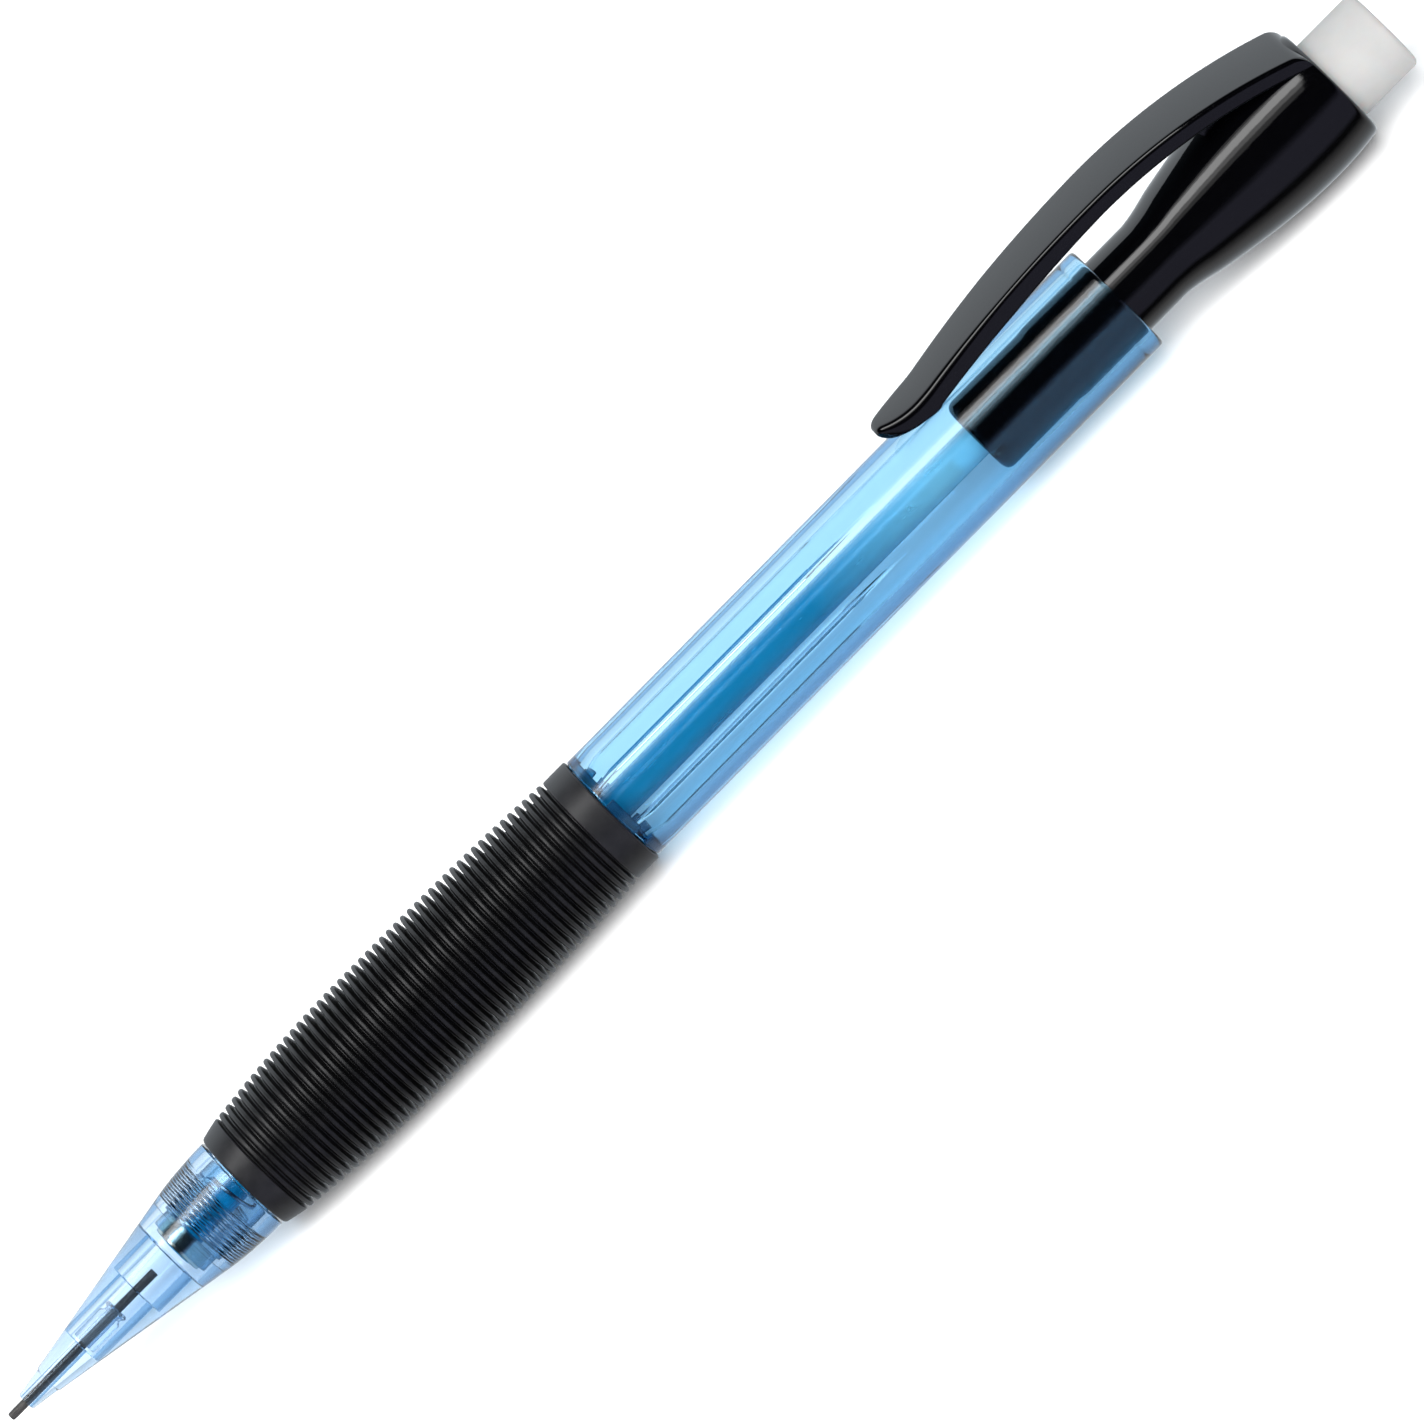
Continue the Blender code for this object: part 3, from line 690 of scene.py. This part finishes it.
def groove_radius(station):
    return min(GROOVE_RADIUS, grip_radius(station) - GROOVE_DEPTH_AT_ENDS)


def make_grip():
    hole = UNDER_GRIP_RADIUS + 0.05
    front = soften(
        [
            (GRIP_START, THREAD_ROOT + 0.3, 0.05),
            (GRIP_START, GRIP_FRONT_RADIUS, 0.22),
            (GRIP_START + 0.9, GRIP_FRONT_RADIUS + 0.22, 0.4),
            (FRONT_COLLAR_END - 0.12, FRONT_COLLAR_RADIUS, 0.13),
            (FRONT_COLLAR_END - 0.04, groove_radius(FRONT_COLLAR_END), 0.05),
        ],
        closed=False,
    )
    ribs = []
    for rib in range(RIBS):
        start = FRONT_COLLAR_END + rib * RIB_PITCH
        for along, depth in RIB_PROFILE:
            station = start + RIB_PITCH * along
            crest = grip_radius(station)
            ribs.append((station, crest - (crest - groove_radius(station)) * depth))
    rear = soften(
        [
            (REAR_COLLAR_START + 0.04, groove_radius(REAR_COLLAR_START), 0.05),
            (REAR_COLLAR_START + 0.12, REAR_COLLAR_RADIUS, 0.13),
            (GRIP_END, REAR_COLLAR_RADIUS, 0.16),
            (GRIP_END, hole, 0.05),
            (SHOULDER - 0.1, hole, 0.05),
            (SHOULDER - 0.1, THREAD_ROOT + 0.3, 0.05),
        ],
        closed=False,
    )
    grip = lathe("grip_sleeve", front + ribs + rear)
    # The ribbed part takes the darker rubber with its painted groove shade, and the collars take the plain
    # rubber.
    give(grip, RIB_RUBBER_PAINTED_SHADE)
    grip.data.materials.append(COLLAR_RUBBER)
    collars = (x_of(FRONT_COLLAR_END), x_of(REAR_COLLAR_START))
    for face in grip.data.polygons:
        if face.center.x < collars[0] or face.center.x > collars[1]:
            face.material_index = 1
    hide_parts("grip")
    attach(grip, "body")


def make_barrel_keys():
    """Short blue blocks in the barrel's wall just behind the grip, which show through it."""
    start, end = GRIP_END - 0.1, GRIP_END + KEY_LENGTH
    corners = ((start, KEY_INNER), (start, KEY_OUTER), (end, KEY_OUTER), (end, KEY_INNER))
    for key in range(KEYS):
        first = KEY_TURN + 2 * math.pi * key / KEYS
        verts, faces = [], []
        for i in range(KEY_STEPS + 1):
            angle = first + 2 * math.pi / KEYS * KEY_SHARE * i / KEY_STEPS
            verts += [on_circle(station, radius, angle) for station, radius in corners]
        for i in range(KEY_STEPS):
            for k in range(4):
                a, b = 4 * i + k, 4 * i + (k + 1) % 4
                faces.append([a, a + 4, b + 4, b])
        faces.append([0, 1, 2, 3])
        faces.append([4 * KEY_STEPS + k for k in (3, 2, 1, 0)])
        piece = add_object(f"barrel_key_{key + 1}", verts, faces)
        bevel = piece.modifiers.new("Soft edges", "BEVEL")
        bevel.width = 0.08 * MM
        bevel.segments = 3
        give(piece, KEY_BLUE)
        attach(piece, "body")


# ---------------------------------------------------------- lead-advance parts

CHUCK_HEAD_RADIUS = radius_of("chuck")
CHUCK_NECK_RADIUS = 1.15
CHUCK_SHANK_RADIUS = 1.0
CHUCK_HEAD_END = 19.6
CHUCK_PLUG_START = 31.0
CHUCK_PLUG_RADIUS = 1.2
CHUCK_SLIT_END = 27.5
CHUCK_SLIT_WIDTH = 0.3
CHUCK_JAWS = 3
FLANGE_START = 32.3
FLANGE_END = 33.3
COUPLER_SLEEVE_RADIUS = 1.5
COUPLER_SOCKET_RADIUS = 1.9
TUBE_STOP = CHUCK_END + 0.8
TUBE_BORE = 1.14
SPRING_WIRE = 0.3
SPRING_RADIUS = 1.87
SPRING_TURNS = 9
CLOSED_TURNS = 1.0  # turns at each end of the spring that lie close together


def make_ring():
    line = soften(
        [
            (RING_START, CHUCK_HEAD_RADIUS + 0.12, 0.05),
            (RING_START, RING_RADIUS, 0.16),
            (RING_END, RING_RADIUS, 0.1),
            (RING_END, CHUCK_NECK_RADIUS + 0.15, 0.08),
        ]
    )
    ring = lathe("clutch_ring_turned", line)
    give(ring, BRASS)
    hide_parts("clutch_ring")
    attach(ring, "clutch")


def box_cutter(size, place):
    low = np.array([-0.5, -0.5, -0.5])
    corners = [low + np.array([i & 1, (i >> 1) & 1, (i >> 2) & 1]) for i in range(8)]
    faces = [[0, 2, 3, 1], [4, 5, 7, 6], [0, 1, 5, 4], [2, 6, 7, 3], [0, 4, 6, 2], [1, 3, 7, 5]]
    verts = [place @ Vector(c * np.array(size) * MM) for c in corners]
    return add_object("cutter", verts, faces)


def cut(obj, cutter):
    """Cuts obj by the cutter, keeps the result as its mesh, and removes the cutter."""
    boolean = obj.modifiers.new("Cut", "BOOLEAN")
    boolean.operation = "DIFFERENCE"
    boolean.solver = "EXACT"
    boolean.object = cutter
    bpy.context.view_layer.update()
    graph = bpy.context.evaluated_depsgraph_get()
    mesh = bpy.data.meshes.new_from_object(obj.evaluated_get(graph), depsgraph=graph)
    obj.modifiers.clear()
    obj.data = mesh
    bpy.data.objects.remove(cutter, do_unlink=True)


def make_chuck():
    bore = LEAD_RADIUS + 0.05
    line = soften(
        [
            (CHUCK_START, bore, 0.03),
            (CHUCK_START, CHUCK_HEAD_RADIUS, 0.12),
            (CHUCK_HEAD_END, CHUCK_NECK_RADIUS, 0.1),
            (CHUCK_HEAD_END + 0.3, CHUCK_SHANK_RADIUS, 0.1),
            (CHUCK_PLUG_START, CHUCK_SHANK_RADIUS, 0.05),
            (CHUCK_PLUG_START, CHUCK_PLUG_RADIUS, 0.05),
            (CHUCK_END, CHUCK_PLUG_RADIUS, 0.05),
            (CHUCK_END, CHUCK_PLUG_RADIUS - 0.3, 0.05),
            (CHUCK_END - 1.0, bore, 0.05),
        ]
    )
    chuck = lathe("chuck_collet", line, segments=96)
    length = CHUCK_SLIT_END - CHUCK_START + 1.0
    for jaw in range(CHUCK_JAWS):
        place = (
            Matrix.Translation((x_of(CHUCK_START - 1.0), 0.0, AXIS_Z))
            @ Matrix.Rotation(2 * math.pi * jaw / CHUCK_JAWS, 4, "X")
            @ Matrix.Translation((length / 2 * MM, 0.0, CHUCK_HEAD_RADIUS * MM))
        )
        cut(chuck, box_cutter((length, CHUCK_SLIT_WIDTH, 2 * CHUCK_HEAD_RADIUS - bore), place))
    give(chuck, CHUCK_BLUE)
    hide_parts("chuck")
    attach(chuck, "pusher")


def make_coupler():
    bore = CHUCK_PLUG_RADIUS + 0.06
    line = soften(
        [
            (COUPLER_START, bore, 0.05),
            (COUPLER_START, COUPLER_SLEEVE_RADIUS, 0.12),
            (FLANGE_START, COUPLER_SLEEVE_RADIUS, 0.08),
            (FLANGE_START, COUPLER_RADIUS, 0.1),
            (FLANGE_END, COUPLER_RADIUS, 0.1),
            (FLANGE_END, COUPLER_SOCKET_RADIUS, 0.08),
            (COUPLER_END, COUPLER_SOCKET_RADIUS, 0.12),
            (COUPLER_END, TUBE_RADIUS + 0.1, 0.05),
            (TUBE_STOP, TUBE_RADIUS + 0.1, 0.05),
            (TUBE_STOP, CHUCK_PLUG_RADIUS - 0.3, 0.05),
            (CHUCK_END + 0.3, CHUCK_PLUG_RADIUS - 0.3, 0.05),
            (CHUCK_END + 0.3, bore, 0.05),
        ]
    )
    coupler = lathe("chuck_coupler_sleeve", line, segments=96)
    give(coupler, COUPLER)
    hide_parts("chuck_coupler")
    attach(coupler, "pusher")


def make_tube():
    line = soften(
        [
            (TUBE_START, TUBE_BORE, 0.05),
            (TUBE_START, TUBE_RADIUS, 0.08),
            (TUBE_END, TUBE_RADIUS, 0.08),
            (TUBE_END, TUBE_BORE, 0.05),
        ]
    )
    tube = lathe("lead_tube_wall", line)
    give(tube, TUBE)
    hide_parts("lead_tube")
    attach(tube, "pusher")


def make_spring():
    """A compression spring whose end turns lie close together."""
    points_per_turn = 28
    sides = 12
    wire = SPRING_WIRE / 2
    first, last = SPRING_START + wire, SPRING_END - wire
    count = SPRING_TURNS * points_per_turn
    close_pitch = SPRING_WIRE * 1.08
    open_turns = SPRING_TURNS - 2 * CLOSED_TURNS
    open_pitch = (last - first - 2 * CLOSED_TURNS * close_pitch) / open_turns
    centre, verts, faces = [], [], []
    for i in range(count + 1):
        turn = i / points_per_turn
        station = first + close_pitch * min(turn, CLOSED_TURNS)
        station += open_pitch * min(max(turn - CLOSED_TURNS, 0.0), open_turns)
        station += close_pitch * max(turn - CLOSED_TURNS - open_turns, 0.0)
        angle = 2 * math.pi * turn
        side, height = SPRING_RADIUS * math.cos(angle), SPRING_RADIUS * math.sin(angle)
        centre.append(Vector((station, side, height)))
    for i, point in enumerate(centre):
        tangent = (centre[min(i + 1, count)] - centre[max(i - 1, 0)]).normalized()
        outward = Vector((0.0, point.y, point.z)).normalized()
        outward = (outward - tangent * outward.dot(tangent)).normalized()
        beside = tangent.cross(outward)
        for k in range(sides):
            turn = 2 * math.pi * k / sides
            at = point + wire * (math.cos(turn) * outward + math.sin(turn) * beside)
            verts.append((x_of(at.x), at.y * MM, AXIS_Z + at.z * MM))
    for i in range(count):
        for k in range(sides):
            a, b = i * sides + k, i * sides + (k + 1) % sides
            faces.append([a, b, b + sides, a + sides])
    faces.append(list(reversed(range(sides))))
    faces.append([count * sides + k for k in range(sides)])
    spring = add_object("chuck_spring_wire", verts, faces)
    give(spring, STEEL)
    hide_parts("chuck_spring")
    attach(spring, "body")
    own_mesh(spring)


# ------------------------------------------------------------ push cap and clip

INSERT_RADIUS = 3.5
NECK_RADIUS = 3.52
INSERT_STEP = 111.5
INSERT_FRONT_RADIUS = 3.38
FLARE_START = 122.6
CAP_BELLY = 137.0
CAP_END_RADIUS = 5.05
CAP_END_ROUND = 0.7
TUBE_SOCKET = TUBE_RADIUS + 0.12
TUBE_SOCKET_END = TUBE_END + 0.3
REFILL_BORE = 1.2
ERASER_SOCKET_START = 128.0
ERASER_SOCKET = 3.8
NOTCH_LENGTH = 1.3
NOTCH_WIDTH = 0.6

CLIP_CREST = 122.5
CLIP_FRONT_ARC = 107.0
CLIP_REAR_ARC = 48.5
CLIP_FLICK_START = 104.2  # the strap turns up from here to its tip
CLIP_FLICK = 1.2
CLIP_CREST_THICKNESS = 1.45
CLIP_PAD_THICKNESS = 1.72
CLIP_TIP_THICKNESS = 1.3
CLIP_PAD = (103.4, 112.5)
CLIP_LIP_HEIGHT = 0.12  # of a small bulge under the pad's front end
CLIP_LIP = (-1.6, 0.45)  # its start and end, from the pad's front end
CLIP_LIP_RISE = 1.4
CLIP_TIP_WIDTH = 4.4
CLIP_ROOT_WIDTH = 6.4
CLIP_TIP_ROUND = 4.0
CLIP_TIP_BLUNT = 0.5
STRAP_END = 141.2
STRAP_END_ROUND = 0.9
STRAP_EDGE = (0.72, 0.45)  # rounding of the outer face's edges along the pad and at the crest
CROTCH = 131.2
CROTCH_SLANT = 0.8
WEB_HALF_WIDTH = 1.05
WEB_FOOT = 3.9
WEB_END = STRAP_END - 0.6


def cap_radius(station):
    if station < CAP_BELLY:
        share = (station - FLARE_START) / (CAP_BELLY - FLARE_START)
        blend = ease(share * 4.5)
        flare = math.sin(math.pi / 2 * share)
        return NECK_RADIUS + (CAP_RADIUS - NECK_RADIUS) * flare * (0.6 + 0.4 * blend)
    share = (station - CAP_BELLY) / (CAP_END - CAP_BELLY)
    return CAP_RADIUS - (CAP_RADIUS - CAP_END_RADIUS) * share**2


def make_cap():
    outside = soften(
        [
            (CAP_START, TUBE_SOCKET, 0.1),
            (CAP_START, INSERT_FRONT_RADIUS, 0.85),
            (INSERT_STEP - 0.4, INSERT_FRONT_RADIUS, 0.3),
            (INSERT_STEP + 0.4, INSERT_RADIUS, 0.3),
            (BARREL_END - 1.0, INSERT_RADIUS, 0.3),
            (BARREL_END - 0.5, NECK_RADIUS, 0.3),
            (FLARE_START, NECK_RADIUS, 0.0),
        ],
        closed=False,
        steps=8,
    )
    outside += [(s, cap_radius(s)) for s in steps_between(FLARE_START + 0.3, CAP_BELLY + 3.0, 44)]
    end = soften(
        [
            (CAP_BELLY + 3.2, cap_radius(CAP_BELLY + 3.2), 0.0),
            (CAP_END, CAP_END_RADIUS, CAP_END_ROUND),
            (CAP_END, ERASER_SOCKET + 0.12, 0.1),
            (CAP_END - 0.25, ERASER_SOCKET, 0.1),
            (ERASER_SOCKET_START, ERASER_SOCKET, 0.2),
            (ERASER_SOCKET_START, REFILL_BORE, 0.1),
            (TUBE_SOCKET_END, REFILL_BORE, 0.05),
            (TUBE_SOCKET_END, TUBE_SOCKET, 0.05),
            (CAP_START, TUBE_SOCKET, 0.0),
        ],
        closed=False,
        steps=6,
    )
    cap = lathe("push_cap_body", outside + end)
    place = Matrix.Translation((x_of(CAP_START), 0.0, AXIS_Z))
    cut(cap, box_cutter((2 * NOTCH_LENGTH, 4 * INSERT_RADIUS, NOTCH_WIDTH), place))
    give(cap, BLACK_GLOSS)
    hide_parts("push_cap")
    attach(cap, "pusher")


def strap_height(station):
    """Height of the strap's outer face over the axis: two arcs that meet at the crest, and a tip
    that turns up."""
    arc = CLIP_FRONT_ARC if station < CLIP_CREST else CLIP_REAR_ARC
    height = CLIP_CREST_HEIGHT - arc + math.sqrt(arc**2 - (station - CLIP_CREST) ** 2)
    flick = max(0.0, (CLIP_FLICK_START - station) / (CLIP_FLICK_START - CLIP_TIP))
    return height + CLIP_FLICK * flick**2


def strap_thickness(station):
    """The strap is thickest along its pad and thins to the crest and to the tip."""
    pad_start, pad_end = CLIP_PAD
    if station < pad_start:
        share = (pad_start - station) / (pad_start - CLIP_TIP)
        thickness = CLIP_PAD_THICKNESS + (CLIP_TIP_THICKNESS - CLIP_PAD_THICKNESS) * share
    else:
        share = min(max((station - pad_end) / (CLIP_CREST - pad_end), 0.0), 1.0)
        thickness = CLIP_PAD_THICKNESS + (CLIP_CREST_THICKNESS - CLIP_PAD_THICKNESS) * share
    lip_start, lip_end = CLIP_LIP
    into_pad = station - pad_start
    lip = ease((lip_end - into_pad) / lip_end) * ease((into_pad - lip_start) / CLIP_LIP_RISE)
    return thickness + CLIP_LIP_HEIGHT * lip


def strap_half_width(station):
    share = (station - CLIP_TIP) / (CAP_END - CLIP_TIP)
    half = (CLIP_TIP_WIDTH + (CLIP_ROOT_WIDTH - CLIP_TIP_WIDTH) * share) / 2
    into = min(max(0.0, 1 - (station - CLIP_TIP) / CLIP_TIP_ROUND), 1.0)
    return CLIP_TIP_BLUNT + (half - CLIP_TIP_BLUNT) * (1 - into**2) ** 0.7


def rounded_drop(into, depth):
    """How far an end's quarter-ellipse has dropped, where into runs from 1 at its start to 0."""
    into = min(max(into, 0.0), 1.0)
    return depth * (1 - math.sqrt(1 - (1 - into) ** 2))


def strap_section(station):
    """Top and bottom height of the strap at a station."""
    top = strap_height(station)
    bottom = top - strap_thickness(station)
    from_tip = station - CLIP_TIP
    top -= rounded_drop(from_tip / 0.8, 0.6)
    bottom += rounded_drop(from_tip / 1.1, 0.55)
    top -= rounded_drop((STRAP_END - station) / STRAP_END_ROUND, STRAP_END_ROUND)
    return top, min(bottom, top - 0.1)


def rounded_section(half, top, bottom, upper_edge, lower_edge, steps=6):
    """Points round a rectangle with soft corners, as (side, height), from the top's +Y corner."""
    room = 0.48 * (top - bottom)
    upper, lower = min(upper_edge, room, 0.8 * half), min(lower_edge, room, 0.8 * half)
    corners = (
        (half - upper, top - upper, upper, 90, 0),
        (half - lower, bottom + lower, lower, 0, -90),
        (-half + lower, bottom + lower, lower, -90, -180),
        (-half + upper, top - upper, upper, 180, 90),
    )
    points = []
    for side, height, edge, first, last in corners:
        for i in range(steps + 1):
            angle = math.radians(first + (last - first) * i / steps)
            points.append((side + edge * math.cos(angle), height + edge * math.sin(angle)))
    return points


def sweep(sections):
    """Verts and faces of a closed body through rings of points, all with the same count."""
    ring = len(sections[0][1])
    verts = [(x_of(s), side * MM, AXIS_Z + height * MM) for s, points in sections for side, height in points]
    faces = [list(reversed(range(ring)))]
    for i in range(len(sections) - 1):
        for k in range(ring):
            a, b = i * ring + k, i * ring + (k + 1) % ring
            faces.append([a, b, b + ring, a + ring])
    faces.append([(len(sections) - 1) * ring + k for k in range(ring)])
    return verts, faces


def make_strap():
    """The pocket clip and its root on the cap, in one piece."""
    stations = [CLIP_TIP + 1.2 * (i / 16) ** 2 for i in range(16)]
    stations += steps_between(CLIP_TIP + 1.2, CLIP_PAD[0] + 0.6, 36)
    stations += steps_between(CLIP_PAD[0] + 0.6, STRAP_END - STRAP_END_ROUND, 120)[1:]
    stations += [STRAP_END - STRAP_END_ROUND * (1 - math.sin(math.pi / 2 * i / 10)) for i in range(1, 11)]
    sections = []
    for station in stations:
        top, bottom = strap_section(station)
        half = strap_half_width(station)
        edge = np.interp(station, CLIP_PAD, STRAP_EDGE)
        sections.append((station, rounded_section(half, top, bottom, edge, 0.25)))
    strap = add_object("pocket_clip_strap", *sweep(sections), smooth_angle=30)
    give(strap, BLACK_GLOSS)
    strap.data.materials.append(BLACK_SATIN)
    for face in strap.data.polygons:
        if face.normal.z > 0.45:
            face.material_index = 1
    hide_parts("pocket_clip")
    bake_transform(strap)


def make_web():
    """The web that joins the strap's root to the cap, much narrower than the strap, with a front
    edge that slants down to the cap."""
    sections = []
    for station in steps_between(CROTCH, WEB_END, 48):
        top = strap_height(station) - 0.6 * CLIP_CREST_THICKNESS
        share = min(1.0, (station - CROTCH) / CROTCH_SLANT)
        foot = WEB_FOOT + (top - 0.2 - WEB_FOOT) * (1 - share)
        sections.append((station, rounded_section(WEB_HALF_WIDTH, top, foot, 0.05, 0.05, steps=2)))
    web = add_object("pocket_clip_web", *sweep(sections), smooth_angle=30)
    give(web, BLACK_GLOSS)
    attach(web, "pusher")


def make_eraser():
    outline = [
        (ERASER_START, 0.0),
        (ERASER_START, ERASER_RADIUS, 0.2),
        (ERASER_END - 0.02, ERASER_RADIUS, 1.0),
        (ERASER_END, ERASER_RADIUS - 1.3, 0.6),
        (ERASER_END, 0.0),
    ]
    eraser = lathe("eraser_block", soften(outline, closed=False, steps=8), closed=False)
    give(eraser, WHITE_VINYL)
    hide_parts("eraser")
    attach(eraser, "eraser")


make_nose()
make_retainer()
make_lead("lead_stub", "stub", point_round=0.22)
make_lead("feed_lead", "clutch")
for number in (1, 2, 3):
    make_lead(f"spare_lead_{number}", "pusher")
make_barrel()
make_grip()
make_barrel_keys()
make_ring()
make_chuck()
make_coupler()
make_tube()
make_spring()
make_cap()
make_strap()
make_web()
make_eraser()


# ------------------------------------------------------- floor, light and camera

CAMERA_ROLL = math.radians(45.35)  # angle of the pencil in the picture
CAMERA_TILT = math.radians(60)  # between the clip's direction and the camera's
CAMERA_SKEW = math.radians(2.1)
CAMERA_DISTANCE = 1.05
CAMERA_LENS = 353.0
AIM_STATION = 75.04
AIM_BELOW_AXIS = 0.23
FLOOR_HALF_SIDE = 3.0
FLOOR_COLOR = (0.95, 0.95, 0.95)
FLOOR_MIRRORED = (0.26, 0.40, 0.54, 1.0)  # painted reflection: the floor's darker, bluer colour where it is mirrored inside the clear plastic


def make_floor():
    mesh = bpy.data.meshes.new("floor")
    side = FLOOR_HALF_SIDE
    corners = [(-side, -side, 0), (side, -side, 0), (side, side, 0), (-side, side, 0)]
    mesh.from_pydata(corners, [], [[0, 1, 2, 3]])
    floor = bpy.data.objects.new("floor", mesh)
    bpy.context.scene.collection.objects.link(floor)
    n = Nodes("pale_floor")
    n.set(Base_Color=FLOOR_COLOR, Roughness=0.9, Specular_IOR_Level=0.1)
    # Painted reflection: after a glossy bounce the floor shows FLOOR_MIRRORED in place of its own colour.
    mirrored = n.tree.nodes.new("ShaderNodeLightPath").outputs["Glossy Depth"]
    shade = n.tree.nodes.new("ShaderNodeBsdfDiffuse")
    shade.inputs["Color"].default_value = FLOOR_MIRRORED
    mix = n.tree.nodes.new("ShaderNodeMixShader")
    n.link(n.ranged(mirrored, 0.0, 1.0, 0.0, 1.0), mix.inputs[0])
    n.link(n.shader.outputs[0], mix.inputs[1])
    n.link(shade.outputs[0], mix.inputs[2])
    n.link(mix.outputs[0], n.output.inputs["Surface"])
    mesh.materials.append(n.material)
    floor.visible_glossy = False  # the world's lower half stands in for it in reflections


def add_softbox(name, angle, distance, size, power, aim=Vector((0, 0, 0.005))):
    """An area light square to the pencil's axis, at an angle above the camera's side of the floor."""
    light = bpy.data.lights.new(name, "AREA")
    light.shape = "RECTANGLE"
    light.size, light.size_y = size
    light.energy = power
    obj = bpy.data.objects.new(name, light)
    bpy.context.scene.collection.objects.link(obj)
    a = math.radians(angle)
    direction = Vector((0, -math.cos(a), math.sin(a)))
    obj.location = aim + direction * distance
    x_axis = Vector((1, 0, 0))
    y_axis = direction.cross(x_axis)
    obj.rotation_mode = "QUATERNION"
    obj.rotation_quaternion = Matrix((x_axis, y_axis, direction)).transposed().to_quaternion()
    return obj


BACK_TINT = (0.93, 1.0, 1.06)  # the room behind the pencil is slightly blue
BACK_ANGLE = 105
FRONT_TINT = (0.92, 0.92, 1.3)  # the faint glow in front of it is violet
FRONT_ANGLE = 45
NO_TINT = (1.0, 1.0, 1.0)
STUDIO = (  # radiance of the room by angle above the camera's side of the floor, for every X
    (-180, 0.90),
    (-110, 0.75),
    (-80, 0.65),
    (-64, 0.25),
    (-57, 0.02),
    (-49, 0.02),
    (-40, 0.30),
    (0, 0.33),
    (6, 0.16),
    (14, 0.01),
    (108, 0.01),
    (118, 0.20),
    (126, 1.30),
    (145, 1.35),
    (160, 1.10),
    (180, 0.85),
)


def studio_color(degrees, radiance):
    if abs(degrees) > BACK_ANGLE:
        tint = BACK_TINT
    elif abs(degrees) < FRONT_ANGLE:
        tint = FRONT_TINT
    else:
        tint = NO_TINT
    return (*(radiance * c for c in tint), 1.0)


def make_world():
    """A studio room whose brightness depends only on the angle round the pencil."""
    world = bpy.data.worlds.new("studio")
    bpy.context.scene.world = world
    world.use_nodes = True
    tree = world.node_tree
    background = tree.nodes["Background"]
    coords = tree.nodes.new("ShaderNodeTexCoord")
    split = tree.nodes.new("ShaderNodeSeparateXYZ")
    tree.links.new(coords.outputs["Generated"], split.inputs["Vector"])
    front = tree.nodes.new("ShaderNodeMath")
    front.operation = "MULTIPLY"
    front.inputs[1].default_value = -1.0
    tree.links.new(split.outputs["Y"], front.inputs[0])
    angle = tree.nodes.new("ShaderNodeMath")
    angle.operation = "ARCTAN2"
    tree.links.new(split.outputs["Z"], angle.inputs[0])
    tree.links.new(front.outputs[0], angle.inputs[1])
    share = tree.nodes.new("ShaderNodeMapRange")
    share.inputs["From Min"].default_value = -math.pi
    share.inputs["From Max"].default_value = math.pi
    tree.links.new(angle.outputs[0], share.inputs["Value"])
    ramp = tree.nodes.new("ShaderNodeValToRGB")
    elements = ramp.color_ramp.elements
    for degrees, radiance in STUDIO[1:-1]:
        element = elements.new((degrees + 180) / 360)
        element.color = studio_color(degrees, radiance)
    elements[0].color = studio_color(*STUDIO[0])
    elements[-1].color = studio_color(*STUDIO[-1])
    tree.links.new(share.outputs["Result"], ramp.inputs["Fac"])
    tree.links.new(ramp.outputs["Color"], background.inputs["Color"])


def make_light():
    aim = Vector((-0.25, 0.0, 0.005))
    add_softbox("key_softbox", 72, 0.6, (0.9, 0.13), 1.4, aim)
    add_softbox("key_diffuser", 70, 0.61, (0.9, 0.25), 1.0, aim)
    add_softbox("key_spill", 68, 0.62, (0.9, 0.38), 0.7, aim)
    fill = add_softbox("fill", 40, 2.6, (3.0, 2.4), 122.0)
    fill.visible_glossy = False  # it only lights the floor and matt surfaces
    fill.visible_transmission = False
    make_world()


def make_camera():
    toward = Vector(
        (
            math.sin(CAMERA_SKEW),
            -math.sin(CAMERA_TILT) * math.cos(CAMERA_SKEW),
            math.cos(CAMERA_TILT) * math.cos(CAMERA_SKEW),
        )
    )
    along = Vector((1, 0, 0))
    along = (along - toward * along.dot(toward)).normalized()
    across = toward.cross(along)
    right = math.cos(CAMERA_ROLL) * along - math.sin(CAMERA_ROLL) * across
    up = math.sin(CAMERA_ROLL) * along + math.cos(CAMERA_ROLL) * across
    data = bpy.data.cameras.new("camera")
    data.lens = CAMERA_LENS
    data.sensor_width = 36.0
    data.clip_start = 0.05
    camera = bpy.data.objects.new("camera", data)
    bpy.context.scene.collection.objects.link(camera)
    aim = Vector((x_of(AIM_STATION), 0.0, AXIS_Z)) - across * AIM_BELOW_AXIS * MM
    camera.rotation_mode = "QUATERNION"
    camera.rotation_quaternion = Matrix((right, up, toward)).transposed().to_quaternion()
    camera.location = aim + toward * CAMERA_DISTANCE
    bpy.context.scene.camera = camera


make_floor()
make_light()
make_camera()
bpy.context.scene.view_settings.view_transform = "Standard"
